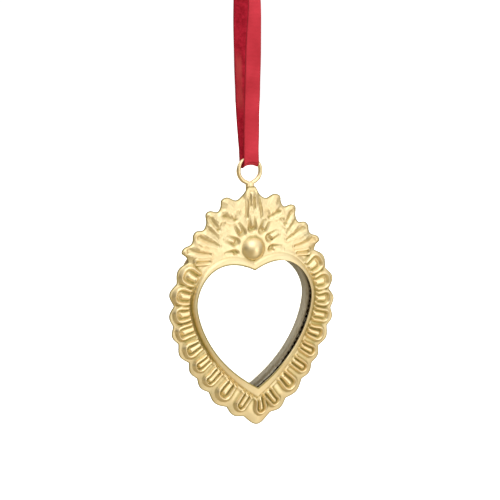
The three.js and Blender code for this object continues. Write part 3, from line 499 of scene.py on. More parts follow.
BAND_HEIGHT, CROWN_HEIGHT, CROWN_BLEND = 0.4, 1.1, (-6, 3)
LOBE_INSET, LOBE_SHARE, LOBE_RIDGE, SLOT_RIDGE = (2.2, 3.4), (0.93, 0.72), 0.75, 0.66
LOBE_PROFILE = [(0, 1.15), (0.13, 1.1), (0.43, 0.1), (LOBE_RIDGE, 1.5), (1.1, 0)]
LOBE_SQUARENESS, SLOT_SQUARENESS = 2.8, 2.4
SLOT_PROFILE = [(0, 1.25), (0.12, 1.2), (0.37, -0.1), (SLOT_RIDGE, 1.5), (1.0, 0)]
FIRST_SLOTTED = 4
SIDE_LOBE = ((20.4, -1.7), (25.6, -1.4), (1.5, 1.9), (0.5, 1))
SIDE_PROFILE = [(0, -0.15), (0.62, 0.95), (1, 0)]
CREASES = [((-9.5, -1.6), (-1.2, -5.2), (0.6, 0.9), (0.25, 0.5))]
HAND_DRIFT = 0.09                          # how far the chaser's marks stray from their drawing
HAMMER_DEPTH, HAMMER_PITCH = 0.055, 2.5    # marks in the crown: height, and waves a mm times 2 pi
HAMMER_FROM, HAMMER_FADE = (-2, 5), (12.5, 15.5)          # their start in z, and round the boss
VALLEY_WIDTH, VALLEY_DEPTH, VALLEY_BLEND = 0.8, 0.35, (8, 18)   # the fold at the bead's foot
TIP_LOBE = ((0.9, -61.5), (1.4, -67.0), (2.4, 3.4))
BOSS_Z, BOSS_RADIUS, BOSS_HEIGHT, BOSS_FILLET = 2.0, 5.05, 3.2, 0.6
PETAL_ANGLES = np.radians(92 - 97 + 194 * np.arange(7) / 6)
# Each petal is a drop-shaped dish with a ridge that runs into it from its outer end
DISH_SPAN, DISH_WIDTH, DISH_FADE = (8.9, 12.4), (2.4, 2.1), (1.15, 0.5)
DISH_PROFILE = [(0, -0.85), (0.5, -0.8), (1, 0)]
RIDGE_SPAN, RIDGE_WIDTH, RIDGE_FADE = (10.0, 13.2), (1.3, 1.6), (1.1, 0.45)
# The apex swells over the wire behind it, and four flutes are cut in: from, to, half width, depth
APEX_SWELL = ((0.6, 14.6), (0.3, 24.4), (5.6, 2.6), (0.5, 0.7))
FLUTES = [((-2.6, 15.6), (-2.5, 22.2), 0.8, 0.95), ((-1.0, 20.2), (-0.9, 25.0), 0.65, 0.8),
          ((0.8, 19.2), (1.0, 23.6), 0.75, 0.95), ((4.2, 15.4), (3.8, 22.4), 0.8, 0.9)]
SHANK_HEIGHT, SHANK_SIDE, SHANK_FOOT = 0.8, (2.2, 4.4), (14.5, 17.9)     # room for the wire's legs
SWELL_PROFILE = [(0, 1), (0.35, 0.85), (1, 0)]
FLUTE_PROFILE = [(0, -1), (0.3, -0.9), (1, 0)]
VEIN_PROFILE = [(0, -1), (0.85, 0.1), (1.15, 0.3), (2.0, 0)]
# Grooves of the teeth, right half: from, to, half width and depth at each end
VEINS = [((7.7, 14.7), (6.2, 17.8), (1.3, 1.6), (0.35, 0.2)),
         ((8.2, 14.7), (12.6, 16.7), (1.3, 1.8), (0.45, 0.8)),
         ((15.4, 11.2), (13.2, 14.2), (1.3, 1.6), (0.35, 0.2)),
         ((15.8, 11.4), (18.6, 16.0), (1.3, 1.9), (0.45, 0.9)),
         ((16.0, 4.8), (24.0, 8.5), (0.9, 2.1), (0.35, 0.95)),
         ((16.0, 7.6), (19.6, 11.4), (1.0, 1.6), (0.25, 0.4)),
         ((19.8, 1.3), (28.6, 3.4), (0.9, 2.0), (0.4, 0.95))]


def cubic(a, b, c, d, t):
    """Bezier curve: the four points weighted by the four terms of ((1 - t) + t) cubed."""
    t = t[:, None]
    a, b, c, d = (np.array(p, float) for p in (a, b, c, d))
    return (1 - t) ** 3 * a + 3 * (1 - t) ** 2 * t * b + 3 * (1 - t) * t ** 2 * c + t ** 3 * d


def heart_half(margins, count):
    """Right half of the heart, notch to tip, widened by margins at its top, sides and tip."""
    top, out, tip = margins
    wide_x, wide_z = HEART_WIDEST[0] + out, HEART_WIDEST[1]
    t = np.linspace(0, 1, 300)
    lobe = cubic((0, HEART_NOTCH_Z + top), (HEART_LOBE_PULL[0], HEART_LOBE_PULL[1] + 1.1 * top),
                 (wide_x, wide_z + HEART_SHOULDER_PULL + 0.3 * top), (wide_x, wide_z), t)
    flank = cubic((wide_x, wide_z), (wide_x, wide_z - HEART_FLANK_PULL),
                  (HEART_POINT_PULL[0] + out, HEART_POINT_PULL[1] - 0.4 * tip),
                  (0, HEART_TIP_Z - 1.2 * tip), t)
    return even(np.vstack([lobe, flank[1:]]), count)


def beside(p, q, along, out):
    """Point a share of the way from p to q, moved to the left by a share of the length."""
    p, q = np.array(p, float), np.array(q, float)
    return p + (q - p) * along + np.array([p[1] - q[1], q[0] - p[0]]) * out


crown_points = [NECK, NECK_FLANK]
for foot, tip, after in zip(TOOTH_NOTCHES, TOOTH_TIPS, TOOTH_NOTCHES[1:] + [DEEP_NOTCH]):
    crown_points += [foot, beside(foot, tip, *TOOTH_RISE), tip, beside(tip, after, *TOOTH_FALL)]
crown_edge = spline_through(np.array([*crown_points, DEEP_NOTCH], float))
scallop_starts = [DEEP_NOTCH, *SCALLOP_NOTCHES]
scallop_ends = [*SCALLOP_NOTCHES, (-SCALLOP_NOTCHES[-1][0], SCALLOP_NOTCHES[-1][1])]
t = np.linspace(0, 1, 61)[1:, None]
scallop_edges = []
for start, end, bulge in zip(scallop_starts, scallop_ends, SCALLOP_BULGES):
    start, chord = np.array(start), np.array(end) - np.array(start)
    left = np.array([-chord[1], chord[0]]) / np.linalg.norm(chord)
    scallop_edges.append(start + chord * t + left * bulge * np.sin(np.pi * t) ** SCALLOP_POWER)
scallop_edges[-1] = scallop_edges[-1][:30]
edge_half = np.vstack([[(0, NECK[1])], crown_edge, *scallop_edges])
edge_half[-1, 0] = 0


def closed(half):
    """The right half followed by its mirror image, without the two points on the axis twice."""
    return np.vstack([half, (half * [-1, 1])[-2:0:-1]])


def distance_to(points, loop):
    """Distance from each point to the nearest spot of a closed broken line."""
    best = np.full(len(points), np.inf)
    for a, b in zip(loop, np.roll(loop, -1, 0)):
        share = np.clip(((points - a) @ (b - a)) / max((b - a) @ (b - a), 1e-12), 0, 1)
        away = points - a - share[:, None] * (b - a)
        best = np.minimum(best, np.einsum("ij,ij->i", away, away))
    return np.sqrt(best)


def inside(points, loop):
    """True where a ray to the right crosses the loop an odd number of times."""
    odd = np.zeros(len(points), bool)
    for (ax, az), (bx, bz) in zip(loop, np.roll(loop, -1, 0)):
        if az != bz:
            spans = (az > points[:, 1]) != (bz > points[:, 1])
            odd ^= spans & (points[:, 0] < ax + (points[:, 1] - az) / (bz - az) * (bx - ax))
    return odd


def wave(knots, s):
    """Height at s: smooth steps from each [place, height] knot to the next."""
    places, heights = np.array(knots, float).T
    k = np.clip(np.searchsorted(places, s) - 1, 0, len(places) - 2)
    share = np.clip((s - places[k]) / (places[k + 1] - places[k]), 0, 1)
    return heights[k] + (heights[k + 1] - heights[k]) * share * share * (3 - 2 * share)


def strip_height(points, a, b, widths, strengths, profile, squareness=2.0):
    """Height of a strip with rounded ends, pressed along the line from a to b.

    The profile is read at the distance from the line over the half width; half width and
    strength go evenly from their first value at a to their second at b. Past an end the distance
    is the root of the two sides' powers: 2 makes the end round, a higher power nearly square."""
    a, b = np.array(a, float), np.array(b, float)
    share = np.clip(((points - a) @ (b - a)) / ((b - a) @ (b - a)), 0, 1)
    rest, aim = points - a - share[:, None] * (b - a), (b - a) / np.linalg.norm(b - a)
    past, beside_it = np.abs(rest @ aim), np.abs(rest @ [-aim[1], aim[0]])
    away = (past ** squareness + beside_it ** squareness) ** (1 / squareness)
    place = away / (widths[0] + (widths[1] - widths[0]) * share)
    return (strengths[0] + (strengths[1] - strengths[0]) * share) * wave(profile, place)


def flip(strip):
    """The strip's mirror image in the plate's other half."""
    return (np.array(strip[0]) * [-1, 1], np.array(strip[1]) * [-1, 1], *strip[2:])


HEART_STEPS, EDGE_STEPS = 130, 330
lip_loop = closed(heart_half((0, 0, 0), HEART_STEPS))
groove_half = heart_half(BEAD_WIDTH, HEART_STEPS)
groove_loop = closed(groove_half)
edge_loop = closed(even(edge_half, EDGE_STEPS))

lobes = []
middles = [(np.array(a) + np.array(b)) / 2 for a, b in zip(scallop_starts, scallop_ends)]
bases = [groove_loop[np.argmin(np.linalg.norm(groove_loop - m, axis=1))] for m in middles]
bases[-1] = groove_half[-1]
for i, (start, end, bulge) in enumerate(zip(scallop_starts, scallop_ends, SCALLOP_BULGES)):
    chord = np.array(end) - np.array(start)
    width = np.linalg.norm(chord) / 2
    crest = middles[i] + np.array([-chord[1], chord[0]]) / (2 * width) * bulge
    aim = (crest - bases[i]) / np.linalg.norm(crest - bases[i])
    spacing = max(np.linalg.norm(bases[i] - bases[k]) for k in (max(0, i - 1), min(9, i + 1))) / 2
    spacing, width = (np.interp(i, (0, 8), LOBE_SHARE) * span for span in (spacing, width))
    ridge, *look = ((LOBE_RIDGE, LOBE_PROFILE, LOBE_SQUARENESS) if i < FIRST_SLOTTED
                    else (SLOT_RIDGE, SLOT_PROFILE, SLOT_SQUARENESS))
    lobes.append((bases[i], crest - aim * (np.interp(i, (0, 8), LOBE_INSET) + ridge * width),
                  (min(width, spacing), width), (1, 1), *look))
lobes[9] = (*TIP_LOBE, (1, 1), SLOT_PROFILE)
lobes.append((*SIDE_LOBE, SIDE_PROFILE))
veins = [(*vein, VEIN_PROFILE) for vein in VEINS]
creases = [(*crease, VEIN_PROFILE) for crease in CREASES]
flutes = [(a, b, (wide, wide), (deep * 0.6, deep), FLUTE_PROFILE) for a, b, wide, deep in FLUTES]
flutes.append((*APEX_SWELL, SWELL_PROFILE))
rays = np.stack([np.cos(PETAL_ANGLES), np.sin(PETAL_ANGLES)], 1)
petals = [((0, BOSS_Z) + span[0] * ray, (0, BOSS_Z) + span[1] * ray, *shape) for ray in rays
          for span, *shape in ((DISH_SPAN, DISH_WIDTH, DISH_FADE, DISH_PROFILE),
                               (RIDGE_SPAN, RIDGE_WIDTH, RIDGE_FADE, SWELL_PROFILE))]
paired = [*lobes[:9], lobes[10], *veins]
strips = [*paired, *(flip(strip) for strip in paired), lobes[9], *petals, *flutes, *creases]


def relief(points):
    """Height in millimetres of the sheet's front above the plane of its edge.

    A bead follows the lip, steep inside and falling away outside; beyond its foot a field rises
    from the band to the crown and goes down gently to the edge, and each strip adds its profile.
    The boss is the cap of a ball, whose fillet is the smooth maximum of it and the field, and the
    apex swells over the wire behind it."""
    x, z = points.T
    from_edge, from_lip = distance_to(points, edge_loop), distance_to(points, lip_loop)
    from_groove = distance_to(points, groove_loop)
    at_tip = 1 - ease(z, *BROW_BLEND)
    field = (BAND_HEIGHT + (CROWN_HEIGHT - BAND_HEIGHT) * ease(z, *CROWN_BLEND)
             + (TIP_BAND - BAND_HEIGHT) * at_tip)
    foot_height = (GROOVE_HEIGHT + (CROWN_FOOT - GROOVE_HEIGHT) * ease(z, *CROWN_FOOT_BLEND)
                   + (TIP_FOOT - GROOVE_HEIGHT) * at_tip)
    height = foot_height + (field - foot_height) * ease(from_groove, 0, FIELD_RISE)
    height = height * ease(from_edge, FLANGE - SKIRT, FLANGE + SKIRT) * 2 - height
    height = np.where(from_edge < FLANGE, 0, height)
    fade = (ease(from_groove, 0, STRIP_FADES[0])
            * ease(from_edge, FLANGE, FLANGE + STRIP_FADES[1]))
    by_hand = HAND_DRIFT * np.stack([np.sin(0.9 * z + 2 * np.sin(0.31 * x)),
                                     np.sin(0.8 * x + 2 * np.sin(0.27 * z + 1))], 1)
    for strip in strips:
        height = height + fade * strip_height(points + by_hand, *strip)
    from_boss = np.hypot(x, z - BOSS_Z)
    hammered = (np.sin(HAMMER_PITCH * x + 1.3 * np.sin(0.9 * z))
                * np.sin(0.9 * HAMMER_PITCH * z + 1.1 * np.sin(0.8 * x)))
    height = height + (HAMMER_DEPTH * hammered * fade * ease(z, *HAMMER_FROM)
                       * ease(from_boss, *HAMMER_FADE))
    ball = (BOSS_RADIUS ** 2 + BOSS_HEIGHT ** 2) / (2 * BOSS_HEIGHT)
    dome = np.sqrt(np.maximum(0, ball ** 2 - from_boss ** 2)) - ball + BOSS_HEIGHT + CROWN_HEIGHT
    fillet = np.maximum(BOSS_FILLET - np.abs(dome - height), 0) ** 2 / (4 * BOSS_FILLET)
    height = np.maximum(height, dome) + fillet
    shank = SHANK_HEIGHT * (1 - ease(np.abs(x), *SHANK_SIDE)) * ease(z, *SHANK_FOOT)
    height = np.maximum(height, shank)
    s = from_lip / (from_lip + from_groove + 1e-9)
    brow, tilt = (b + (a - b) * at_tip for a, b in (BEAD_BROW, BEAD_TILT))
    rise = np.sin(np.pi / 2 * np.minimum(1, s / BEAD_RISE))
    bead = (LIP_HEIGHT + (BEAD_HEIGHT - LIP_HEIGHT) * rise
            - tilt * np.clip((s - BEAD_RISE) / (brow - BEAD_RISE), 0, 1)
            - (BEAD_HEIGHT - tilt - foot_height) * ease(s, brow, 1.0))
    valley = VALLEY_DEPTH * (1 - ease(from_groove, 0, VALLEY_WIDTH)) * ease(-z, *VALLEY_BLEND)
    return np.where(inside(points, groove_loop), bead, height) - valley


# The sheet is a grid that runs round the plate in columns. Its rows go out over the bead and on
# to the edge in front, round the cut edge, and back to the lip behind. TIES pairs spots of the
# lip and of the edge that the same column joins.
COLUMNS_HALF, BEAD_ROWS, FIELD_ROWS = 410, 14, 76
REAR_ROWS, RIM_ROW = (16, 9), 0.995        # behind field and bead; one more row close to the edge
FULL_HOLLOW_SHADE, EDGE_SHADE_MARK = 1.6, 2.4        # painted shade: full in a hollow at the first; the bare cut edge, and the rim and lip beside it, painted darker as shade at the second
OPEN_REAR_ROWS = 11                        # rows behind that are gilt as the front is
HOLLOW_DEPTH, BLUR = 0.35, 4               # a hollow's full mark, and the grid's window round it
APEX_CLOSER = 1.15                         # power that sets columns closer there, for its flutes
TIES = [((0, -7), (0, 28.2)), ((12.5, -2.0), (13.4, 23.4)), ((21.4, -5.5), (29.2, -1.0)),
        ((26.6, -19.7), (36.2, -18.8)), ((20.6, -37.5), (30.4, -43.4)), ((0, -57.6), (0, -74.2))]


def shares_of(points, half):
    """For each point, how far along the half outline its nearest spot lies, from 0 to 1."""
    run = run_of(half)
    return [run[np.argmin(np.linalg.norm(half - p, axis=1))] / run[-1] for p in points]


def at_shares(half, shares):
    """Points at the given shares of an outline's length."""
    run = run_of(half)
    return np.stack([np.interp(shares * run[-1], run, half[:, k]) for k in (0, 1)], 1)


fine_lip, fine_groove = heart_half((0, 0, 0), 2000), heart_half(BEAD_WIDTH, 2000)
out_share = np.linspace(0, 1, COLUMNS_HALF) ** APEX_CLOSER
lip_ties, edge_ties = zip(*TIES)
in_share = np.interp(out_share, shares_of(edge_ties, edge_half), shares_of(lip_ties, fine_lip))
inner = closed(at_shares(fine_lip, in_share))
middle = closed(at_shares(fine_groove, in_share))
outer = closed(at_shares(edge_half, out_share))


def between(first, last, shares):
    """Rows of points from one loop to another at the given shares."""
    return first[None] + (last - first)[None] * np.asarray(shares)[:, None, None]


bead_share = (1 - np.cos(np.linspace(0, np.pi, BEAD_ROWS, endpoint=False))) / 2
field_share = np.append(np.linspace(0, 1, FIELD_ROWS), RIM_ROW)
cut_edge = [0.12, 0.88]                    # two rows across each cut edge keep its corners crisp
front_rows = np.concatenate([between(inner, middle, bead_share),
                             between(middle, outer, np.sort(field_share))])
rear_shares = [np.linspace(0, 1, REAR_ROWS[0], endpoint=False), np.linspace(0, 1, REAR_ROWS[1])]
rear_rows = np.concatenate([between(outer, middle, rear_shares[0]),
                            between(middle, inner, rear_shares[1])])
rows = np.concatenate([front_rows, [outer, outer], rear_rows, [inner, inner]])
through = np.concatenate([np.zeros(len(front_rows)), cut_edge,
                          np.ones(len(rear_rows)), cut_edge[::-1]])
high = relief(rows.reshape(-1, 2)).reshape(rows.shape[:2])
depth = -high * MM + SHEET * through[:, None]
points = np.stack([rows[..., 0] * MM, depth, rows[..., 1] * MM + PLATE_Z], -1)
plate = mesh_grid("pressed_front_plate", points, wrap=(True, True))


def blurred(values, wide):
    """Mean over a window of the grid, taken along the rows and then along the columns."""
    for axis in (0, 1):
        values = sum(np.roll(values, k, axis) for k in range(-wide, wide + 1)) / (2 * wide + 1)
    return values


spots = rows.reshape(-1, 2)
from_groove, to_edge, from_lip = (distance_to(spots, loop).reshape(high.shape)
                                  for loop in (groove_loop, edge_loop, lip_loop))
in_groove = np.where(inside(spots, groove_loop).reshape(high.shape),
                     1 - ease(from_groove, 0.9, 1.7), 1 - ease(from_groove, 0, 0.6))
beside_heart = plateau(-rows[..., 1], (10, 20), (38, 50))
lip_line = (1 - ease(from_lip, 0.25, 0.8)) * (1 - ease(rows[..., 0], 8, 16))
# painted shade: the colour darkens in the hollows, in the groove beside the heart and along the
# lip's left; the same mark sets how rubbed the finish is
hollow = (blurred(high, BLUR) - high) / HOLLOW_DEPTH + in_groove * beside_heart
# the cut edge is bare brass; its dark, carried a little onto the rim and the lip, is painted shade
hollow = np.where(through[:, None] > 0, 0,
                  hollow + EDGE_SHADE_MARK * (1 - ease(to_edge, 0, 0.6) + lip_line))
hollow[(through > 0) & (through < 1)] = EDGE_SHADE_MARK
store(plate, "hollow", np.clip(hollow, -1, EDGE_SHADE_MARK))
store(plate, "from_lip", from_lip)
within_pan = np.zeros(len(rows), np.int32)
within_pan[len(front_rows) + len(cut_edge) + OPEN_REAR_ROWS:-len(cut_edge)] = 1
plate.data.polygons.foreach_set("material_index", np.repeat(within_pan, rows.shape[1]))
crown_part = ease(rows[..., 1], 1, 6) * ease(np.hypot(rows[..., 0], rows[..., 1] - BOSS_Z), 10, 14)
store(plate, "veined", crown_part)

# One finish serves the plate and the wire: brass gilt and lacquered, satin where the press left it
# and brighter where hands have rubbed the raised parts.
# Its colour also holds painted shade, darker in the hollows and at the cut edges.
GILT, GILT_WARM = (0.877, 0.757, 0.478), (0.888, 0.697, 0.405)
# painted shade: the colour of the hollows, and the darker brown of the cut edge and rim
GILT_DEEP, EDGE_BROWN = (0.42, 0.345, 0.115), (0.13, 0.10, 0.06)

wear_and_painted_shade = bpy.data.node_groups.new("worn_gilding_painted_shade", "ShaderNodeTree")
for in_out, sockets in (("INPUT", {"Hollow": "Float", "Satin": "Float"}),
                        ("OUTPUT", {"Colour": "Color", "Roughness": "Float", "Height": "Float"})):
    for name, kind in sockets.items():
        wear_and_painted_shade.interface.new_socket(name=name, in_out=in_out, socket_type="NodeSocket" + kind)
given, result = node(wear_and_painted_shade, "NodeGroupInput"), node(wear_and_painted_shade, "NodeGroupOutput")
given_hollow = (given, "Hollow")
cloud, speck, orange = noise(wear_and_painted_shade, 110, 4, 0.6), noise(wear_and_painted_shade, 900, 3, 0.7), noise(wear_and_painted_shade, 330, 2)
toned = blend_colours(remap(cloud, 0.35, 0.7), GILT, GILT_WARM)
uneven = multiply(math_node("SUBTRACT", speck, 0.5), 0.35)
# painted shade: the hollows turn towards the deep colour and the edges towards the brown
hollow_shade = remap(add(given_hollow, uneven), 0.1, FULL_HOLLOW_SHADE, 0.0, 0.95)
edge_shade = remap(given_hollow, FULL_HOLLOW_SHADE, EDGE_SHADE_MARK, 0.0, 0.66)
wire(blend_colours(edge_shade, blend_colours(hollow_shade, toned, GILT_DEEP), EDGE_BROWN),
     (result, "Colour"))
rubbed = add(remap(given_hollow, -0.6, 0.5, -0.06, 0.12), remap(speck, 0.3, 0.7, -0.04, 0.06))
wire(add((given, "Satin"), rubbed), (result, "Roughness"))
wire(add(multiply(orange, 0.8), multiply(speck, 0.25)), (result, "Height"))


def gilding(shader, satin, hollow):
    """The gilding's finish, with its wear and its painted shade, as the shader's colour and
    roughness; gives the group node.
    """
    group = node(shader.id_data, "ShaderNodeGroup", node_tree=wear_and_painted_shade, inputs={"Satin": satin})
    if is_output(hollow):
        wire(hollow, (group, "Hollow"))
    else:
        group.inputs["Hollow"].default_value = hollow
    wire((group, "Colour"), (shader, "Base Color"))
    wire((group, "Roughness"), (shader, "Roughness"))
    return group


gilt, tree, shader = new_material("gilt_sheet", {
    "Metallic": 1.0, "Coat Weight": 0.06, "Coat Roughness": 0.3})
group = gilding(shader, satin=0.37, hollow=mark(tree, "hollow"))
# the crown's fine veins fan out from the boss: a wave of the angle round it, bent by noise
VEIN_WAVES, VEIN_STRAY, VEIN_HEIGHT = 118.0, 9.0, 0.5
parts = node(tree, "ShaderNodeSeparateXYZ")
wire(own_place(tree), (parts, "Vector"))
rise = math_node("SUBTRACT", (parts, "Z"), PLATE_Z + BOSS_Z * MM)
bearing = math_node("ARCTAN2", (parts, "X"), rise)
patchy = noise(tree, 240, 1)
vein_wave = math_node("SINE", add(multiply(bearing, VEIN_WAVES), multiply(patchy, VEIN_STRAY)))
where_veined = multiply(mark(tree, "veined"), remap(patchy, 0.45, 0.65))
vein_height = multiply(multiply(vein_wave, where_veined), VEIN_HEIGHT)
bump(shader, add((group, "Height"), vein_height), 0.35, 0.12 * MM)
plate.data.materials.append(gilt)

# The sheet's hidden side, which only the mirror shows: bare metal, painted lit near the lip and
# painted shaded further in, a crumpled seam of solder, and beyond it a painted shadow for the dark
# gap. Each starts at a distance from the lip, in millimetres.
LIT_BARE_SHEET, SHADED_SHEET, SHADE_START = (0.97, 0.88, 0.74), (0.60, 0.50, 0.36), (1.2, 2.0)
SCRAPED, SCRAPE_WAVES = (0.42, 0.34, 0.24), 17.0         # waves a mm, times 2 pi
SOLDER, SOLDER_START = (0.90, 0.84, 0.72), (2.75, 2.85)
GAP_SHADOW, GAP_SHADOW_START = (0.10, 0.052, 0.020), (3.15, 3.35)

bare, tree, shader = new_material("bare_sheet", {"Specular IOR Level": 0.08})
crumple = noise(tree, 420, 3, 0.6)
ragged = add(mark(tree, "from_lip"), remap(crumple, 0.3, 0.7, -0.2, 0.2))
scrape_wave = math_node("SINE", multiply(ragged, SCRAPE_WAVES))
# painted light near the lip and painted shade further from it, then the seam, then the painted
# shadow
shaded = blend_colours(remap(ragged, *SHADE_START), LIT_BARE_SHEET, SHADED_SHEET)
lined = blend_colours(remap(scrape_wave, -1, 1, 0, 0.3), shaded, SCRAPED)
seam = blend_colours(remap(ragged, *SOLDER_START), lined, SOLDER)
wire(blend_colours(remap(ragged, *GAP_SHADOW_START), seam, GAP_SHADOW), (shader, "Base Color"))
wire(remap(crumple, 0.3, 0.7, 0.5, 0.75), (shader, "Roughness"))
plate.data.materials.append(bare)
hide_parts("front_plate")
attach(plate, "ornament")

gilt_wire, _, shader = new_material("gilt_wire", {
    "Metallic": 1.0, "Coat Weight": 0.25, "Coat Roughness": 0.2})
group = gilding(shader, satin=0.26, hollow=0.0)
bump(shader, (group, "Height"), 0.2, 0.1 * MM)
for piece in (eye, throat_solder):
    piece.data.materials.append(gilt_wire)
    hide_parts("hanging_eye")
    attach(piece, "ornament")

# Mirror: a thin glass, 1.3 mm, cut to a heart larger than the opening and silvered behind. It is
# glued on the card and stands a few millimetres behind the sheet's lip.
SILVER, SILVER_DULL = (0.94, 0.955, 0.95), (0.90, 0.925, 0.915)
mirror, tree, shader = new_material("silvered_glass", {"Metallic": 1.0})
smear = noise(tree, 60, 5, distortion=1.2)
wire(blend_colours(remap(smear, 0.3, 0.8), SILVER, SILVER_DULL), (shader, "Base Color"))
wire(remap(smear, 0.45, 0.85, 0.012, 0.05), (shader, "Roughness"))
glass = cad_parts["mirror_glass"]
glass.data.materials.clear()
glass.data.materials.append(mirror)

# Backing card: grey board under the whole mirror, glued to the glass and to the floor of the
# pan.
BOARD, BOARD_PALE = (0.21, 0.185, 0.145), (0.33, 0.30, 0.25)
card, tree, shader = new_material("grey_board", {"Roughness": 0.92})
fibre = noise(tree, 1400, 5, 0.7)
wire(blend_colours(remap(fibre, 0.35, 0.7), BOARD, BOARD_PALE), (shader, "Base Color"))
bump(shader, fibre, 0.5, 0.1 * MM)
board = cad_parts["backing_card"]
board.data.materials.clear()
board.data.materials.append(card)

# Back pan: a tray of thin brass sheet that closes the ornament behind. Its wall is scribed to
# the hollow side of the relief, dips where the wire's two legs pass, and is soldered inside.
PAN_SHEET, PAN_BACK, PAN_CORNER = 0.3 * MM, 5.2 * MM, 0.8 * MM
PAN_GAP = 0.3 * MM                         # between its rim and the sheet or the legs it meets
PAN_EDGE = [(0, 24.4), (4.5, 21.6), (12.6, 16.0), (18.9, 9.4), (24.6, 3.4), (29.5, -2.5),
            (31.6, -9.5), (33.8, -18.8), (34.0, -27.3), (32.2, -35.4), (27.9, -43.2), (24.2, -50),
            (19.2, -56.1), (12.2, -62.8), (5.2, -67.9), (0, -71)]
PAN_CENTRE, PAN_STEPS = (0.0, -22.0), 260
PAN_WARP, WARP_RIM = 0.10 * MM, (1.5, 9)   # its waves' unit height, and where they set in
LEG_WINDOW = (2.2, 3.0)
WALL_SHADE_SPAN = (2.5 * MM, 0.1 * MM)           # the painted shade on its wall fades between these heights over it

pan_half = even(spline_through(np.array(PAN_EDGE, float)), PAN_STEPS)
pan_half[[0, -1], 0] = 0
pan_loop = closed(pan_half)
tangent = np.roll(pan_loop, -1, 0) - np.roll(pan_loop, 1, 0)
tangent /= np.linalg.norm(tangent, axis=1, keepdims=True)
pan_out = np.stack([-tangent[:, 1], tangent[:, 0]], 1)
rim = -relief(pan_loop) * MM + SHEET + PAN_GAP
at_legs = (1 - ease(np.abs(pan_loop[:, 0]), *LEG_WINDOW)) * (pan_loop[:, 1] > 0)
rim = np.maximum(rim, EYE_Y + WIRE / 2 + PAN_GAP - 10 * MM * (1 - at_legs))


def warp(spots):
    """Depth by which the thin back is out of flat: two crossed slow waves that only bulge it, and
    none near its rim."""
    x, z = spots.T
    waves = (1.4 + np.sin(0.19 * x + 0.9 * np.sin(0.06 * z)) * np.sin(0.13 * z + 0.5)
             + 0.4 * np.sin(0.31 * z + 0.2 * x))
    return PAN_WARP * waves * ease(distance_to(spots, pan_loop), *WARP_RIM)


# the section: out across the back, round the corner, up the wall, over its edge and back inside
centre = np.array(PAN_CENTRE)
inside_wall = pan_loop - pan_out * PAN_SHEET / MM
back_shares = np.append(np.linspace(0, 0.9, 30), 0.94)
rows = [centre + (pan_loop - centre) * share for share in back_shares]
depths = [PAN_BACK + warp(row) for row in rows]
for turn in np.linspace(0, np.pi / 2, 9):
    rows.append(pan_loop - pan_out * PAN_CORNER / MM * (1 - math.sin(turn)))
    depths.append(np.full(len(pan_loop), PAN_BACK - PAN_CORNER * (1 - math.cos(turn))))
for share in np.linspace(0.15, 1, 8):
    rows.append(pan_loop)
    depths.append(PAN_BACK - PAN_CORNER + (rim - PAN_BACK + PAN_CORNER) * share)
for share in np.linspace(0, 1, 8):
    rows.append(inside_wall)
    depths.append(rim + (PAN_BACK - PAN_SHEET - rim) * share)
for share in back_shares[::-1]:
    rows.append(centre + (inside_wall - centre) * share)
    depths.append(PAN_BACK - PAN_SHEET + warp(rows[-1]))
rows, depths = np.array(rows), np.array(depths)
points = np.stack([rows[..., 0] * MM, depths, rows[..., 1] * MM + PLATE_Z], -1)
pan = mesh_grid("back_pan", points[:, ::-1], wrap=(False, True))
store(pan, "wall_shade", 1 - ease(depths[:, ::-1], PAN_BACK - WALL_SHADE_SPAN[0], PAN_BACK - WALL_SHADE_SPAN[1]))
weld(pan)

DULL_BRASS, SHADED_BRASS = (0.50, 0.34, 0.15), (0.17, 0.095, 0.035)   # painted shade darkens its wall towards the rim
pan_brass, tree, shader = new_material("pan_brass", {"Metallic": 1.0})
group = gilding(shader, satin=0.42, hollow=0.1)
dulled = blend_colours(0.55, (group, "Colour"), DULL_BRASS)
# painted shade: the wall's colour darkens towards the rim
wall_shade_mask = multiply(mark(tree, "wall_shade"), 0.85)
wire(blend_colours(wall_shade_mask, dulled, SHADED_BRASS), (shader, "Base Color"))
# lines left by the rollers run across it
stretched = node(tree, "ShaderNodeMapping", inputs={"Scale": (0.04, 1, 1)})
wire(own_place(tree), (stretched, "Vector"))
rolled = noise(tree, 1500, 4, 0.7, place=(stretched, "Vector"))
bump(shader, add((group, "Height"), rolled), 0.45, 0.15 * MM)
pan.data.materials.append(pan_brass)
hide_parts("back_plate")
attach(pan, "ornament")

# Studio: a pale floor below the hanging ornament, white all round for the eye, and large soft
# lamps. What the gilding reflects is dimmer than what the camera sees, as in a half-open tent.
FLOOR_Z, FLOOR_REACH = -0.90, 20.0
FLOOR_REFLECTED = (0.48, 0.425, 0.30)      # what polished metal shows of the floor
TENT_DARK = (0.17, 0.155, 0.103)           # and of the tent, where it is open to the room
# Its bright sides, front, top, right and rear: where each faces, where its glow starts and is
# full, as the cosine from there, and how strong it is
TENT_SIDES = [((0.05, -0.99, 0.10), 0.40, 0.95, 0.625), ((0, 0, 1), 0.10, 0.80, 0.78),
              ((0.98, 0.20, 0), 0.05, 0.90, 0.35), ((0.17, 0.98, 0.10), 0.30, 0.90, 0.40)]
TENT_TINT = (1.0, 0.98, 0.94)
CAMERA_WHITE = 1.05
PLATE_CENTRE = Vector((0, 0, PLATE_Z - 0.02))

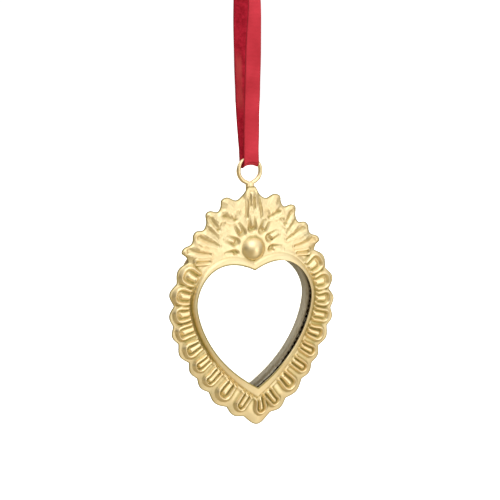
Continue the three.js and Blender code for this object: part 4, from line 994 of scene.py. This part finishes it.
floor = mesh_grid("floor", np.array([[(x, y, FLOOR_Z) for x in (-FLOOR_REACH, FLOOR_REACH)]
                                     for y in (FLOOR_REACH, -FLOOR_REACH)]))
pale, tree, shader = new_material("pale_floor", {
    "Roughness": 0.9, "Emission Color": (1, 1, 1, 1)})
seen = (node(tree, "ShaderNodeLightPath"), "Is Camera Ray")
sheet = blend_colours(noise(tree, 8, 2), (0.82, 0.82, 0.82), (0.86, 0.86, 0.86))
wire(blend_colours(seen, FLOOR_REFLECTED, sheet), (shader, "Base Color"))
wire(multiply(seen, 0.8), (shader, "Emission Strength"))
floor.data.materials.append(pale)

world = bpy.data.worlds.new("studio")
bpy.context.scene.world = world
world.use_nodes = True
tree = world.node_tree
tree.nodes.clear()
white = node(tree, "ShaderNodeBackground", inputs={"Color": (1, 1, 1, 1), "Strength": CAMERA_WHITE})
room = node(tree, "ShaderNodeBackground", inputs={"Strength": 1.0})
heading = node(tree, "ShaderNodeTexCoord")
glow = 0.0
for axis, low, high, strength in TENT_SIDES:
    toward = node(tree, "ShaderNodeVectorMath", operation="DOT_PRODUCT", inputs={1: axis})
    wire((heading, "Generated"), (toward, 0))
    glow = add(glow, remap((toward, "Value"), low, high, 0.0, strength))
colour = node(tree, "ShaderNodeCombineColor")
for channel, share, dim in zip(("Red", "Green", "Blue"), TENT_TINT, TENT_DARK):
    wire(add(multiply(glow, share), dim), (colour, channel))
wire((colour, "Color"), (room, "Color"))
both = node(tree, "ShaderNodeMixShader")
wire((node(tree, "ShaderNodeLightPath"), "Is Camera Ray"), (both, "Fac"))
wire((room, 0), (both, 1))
wire((white, 0), (both, 2))
wire((both, "Shader"), (node(tree, "ShaderNodeOutputWorld"), "Surface"))


def softbox(name, place, size, power):
    """Square area lamp at a place, turned to the middle of the plate."""
    lamp = bpy.data.lights.new(name, "AREA")
    lamp.size, lamp.energy = size, power
    holder = bpy.data.objects.new(name, lamp)
    bpy.context.scene.collection.objects.link(holder)
    holder.location = place
    holder.rotation_euler = (PLATE_CENTRE - holder.location).to_track_quat("-Z", "Y").to_euler()


softbox("window_right", (0.46, -0.95, -0.28), size=0.62, power=1.50)
softbox("tent_top", (-0.20, -0.60, 0.62), size=0.9, power=2.2)
softbox("low_card", (0.30, -0.52, -0.62), size=0.5, power=0.45)
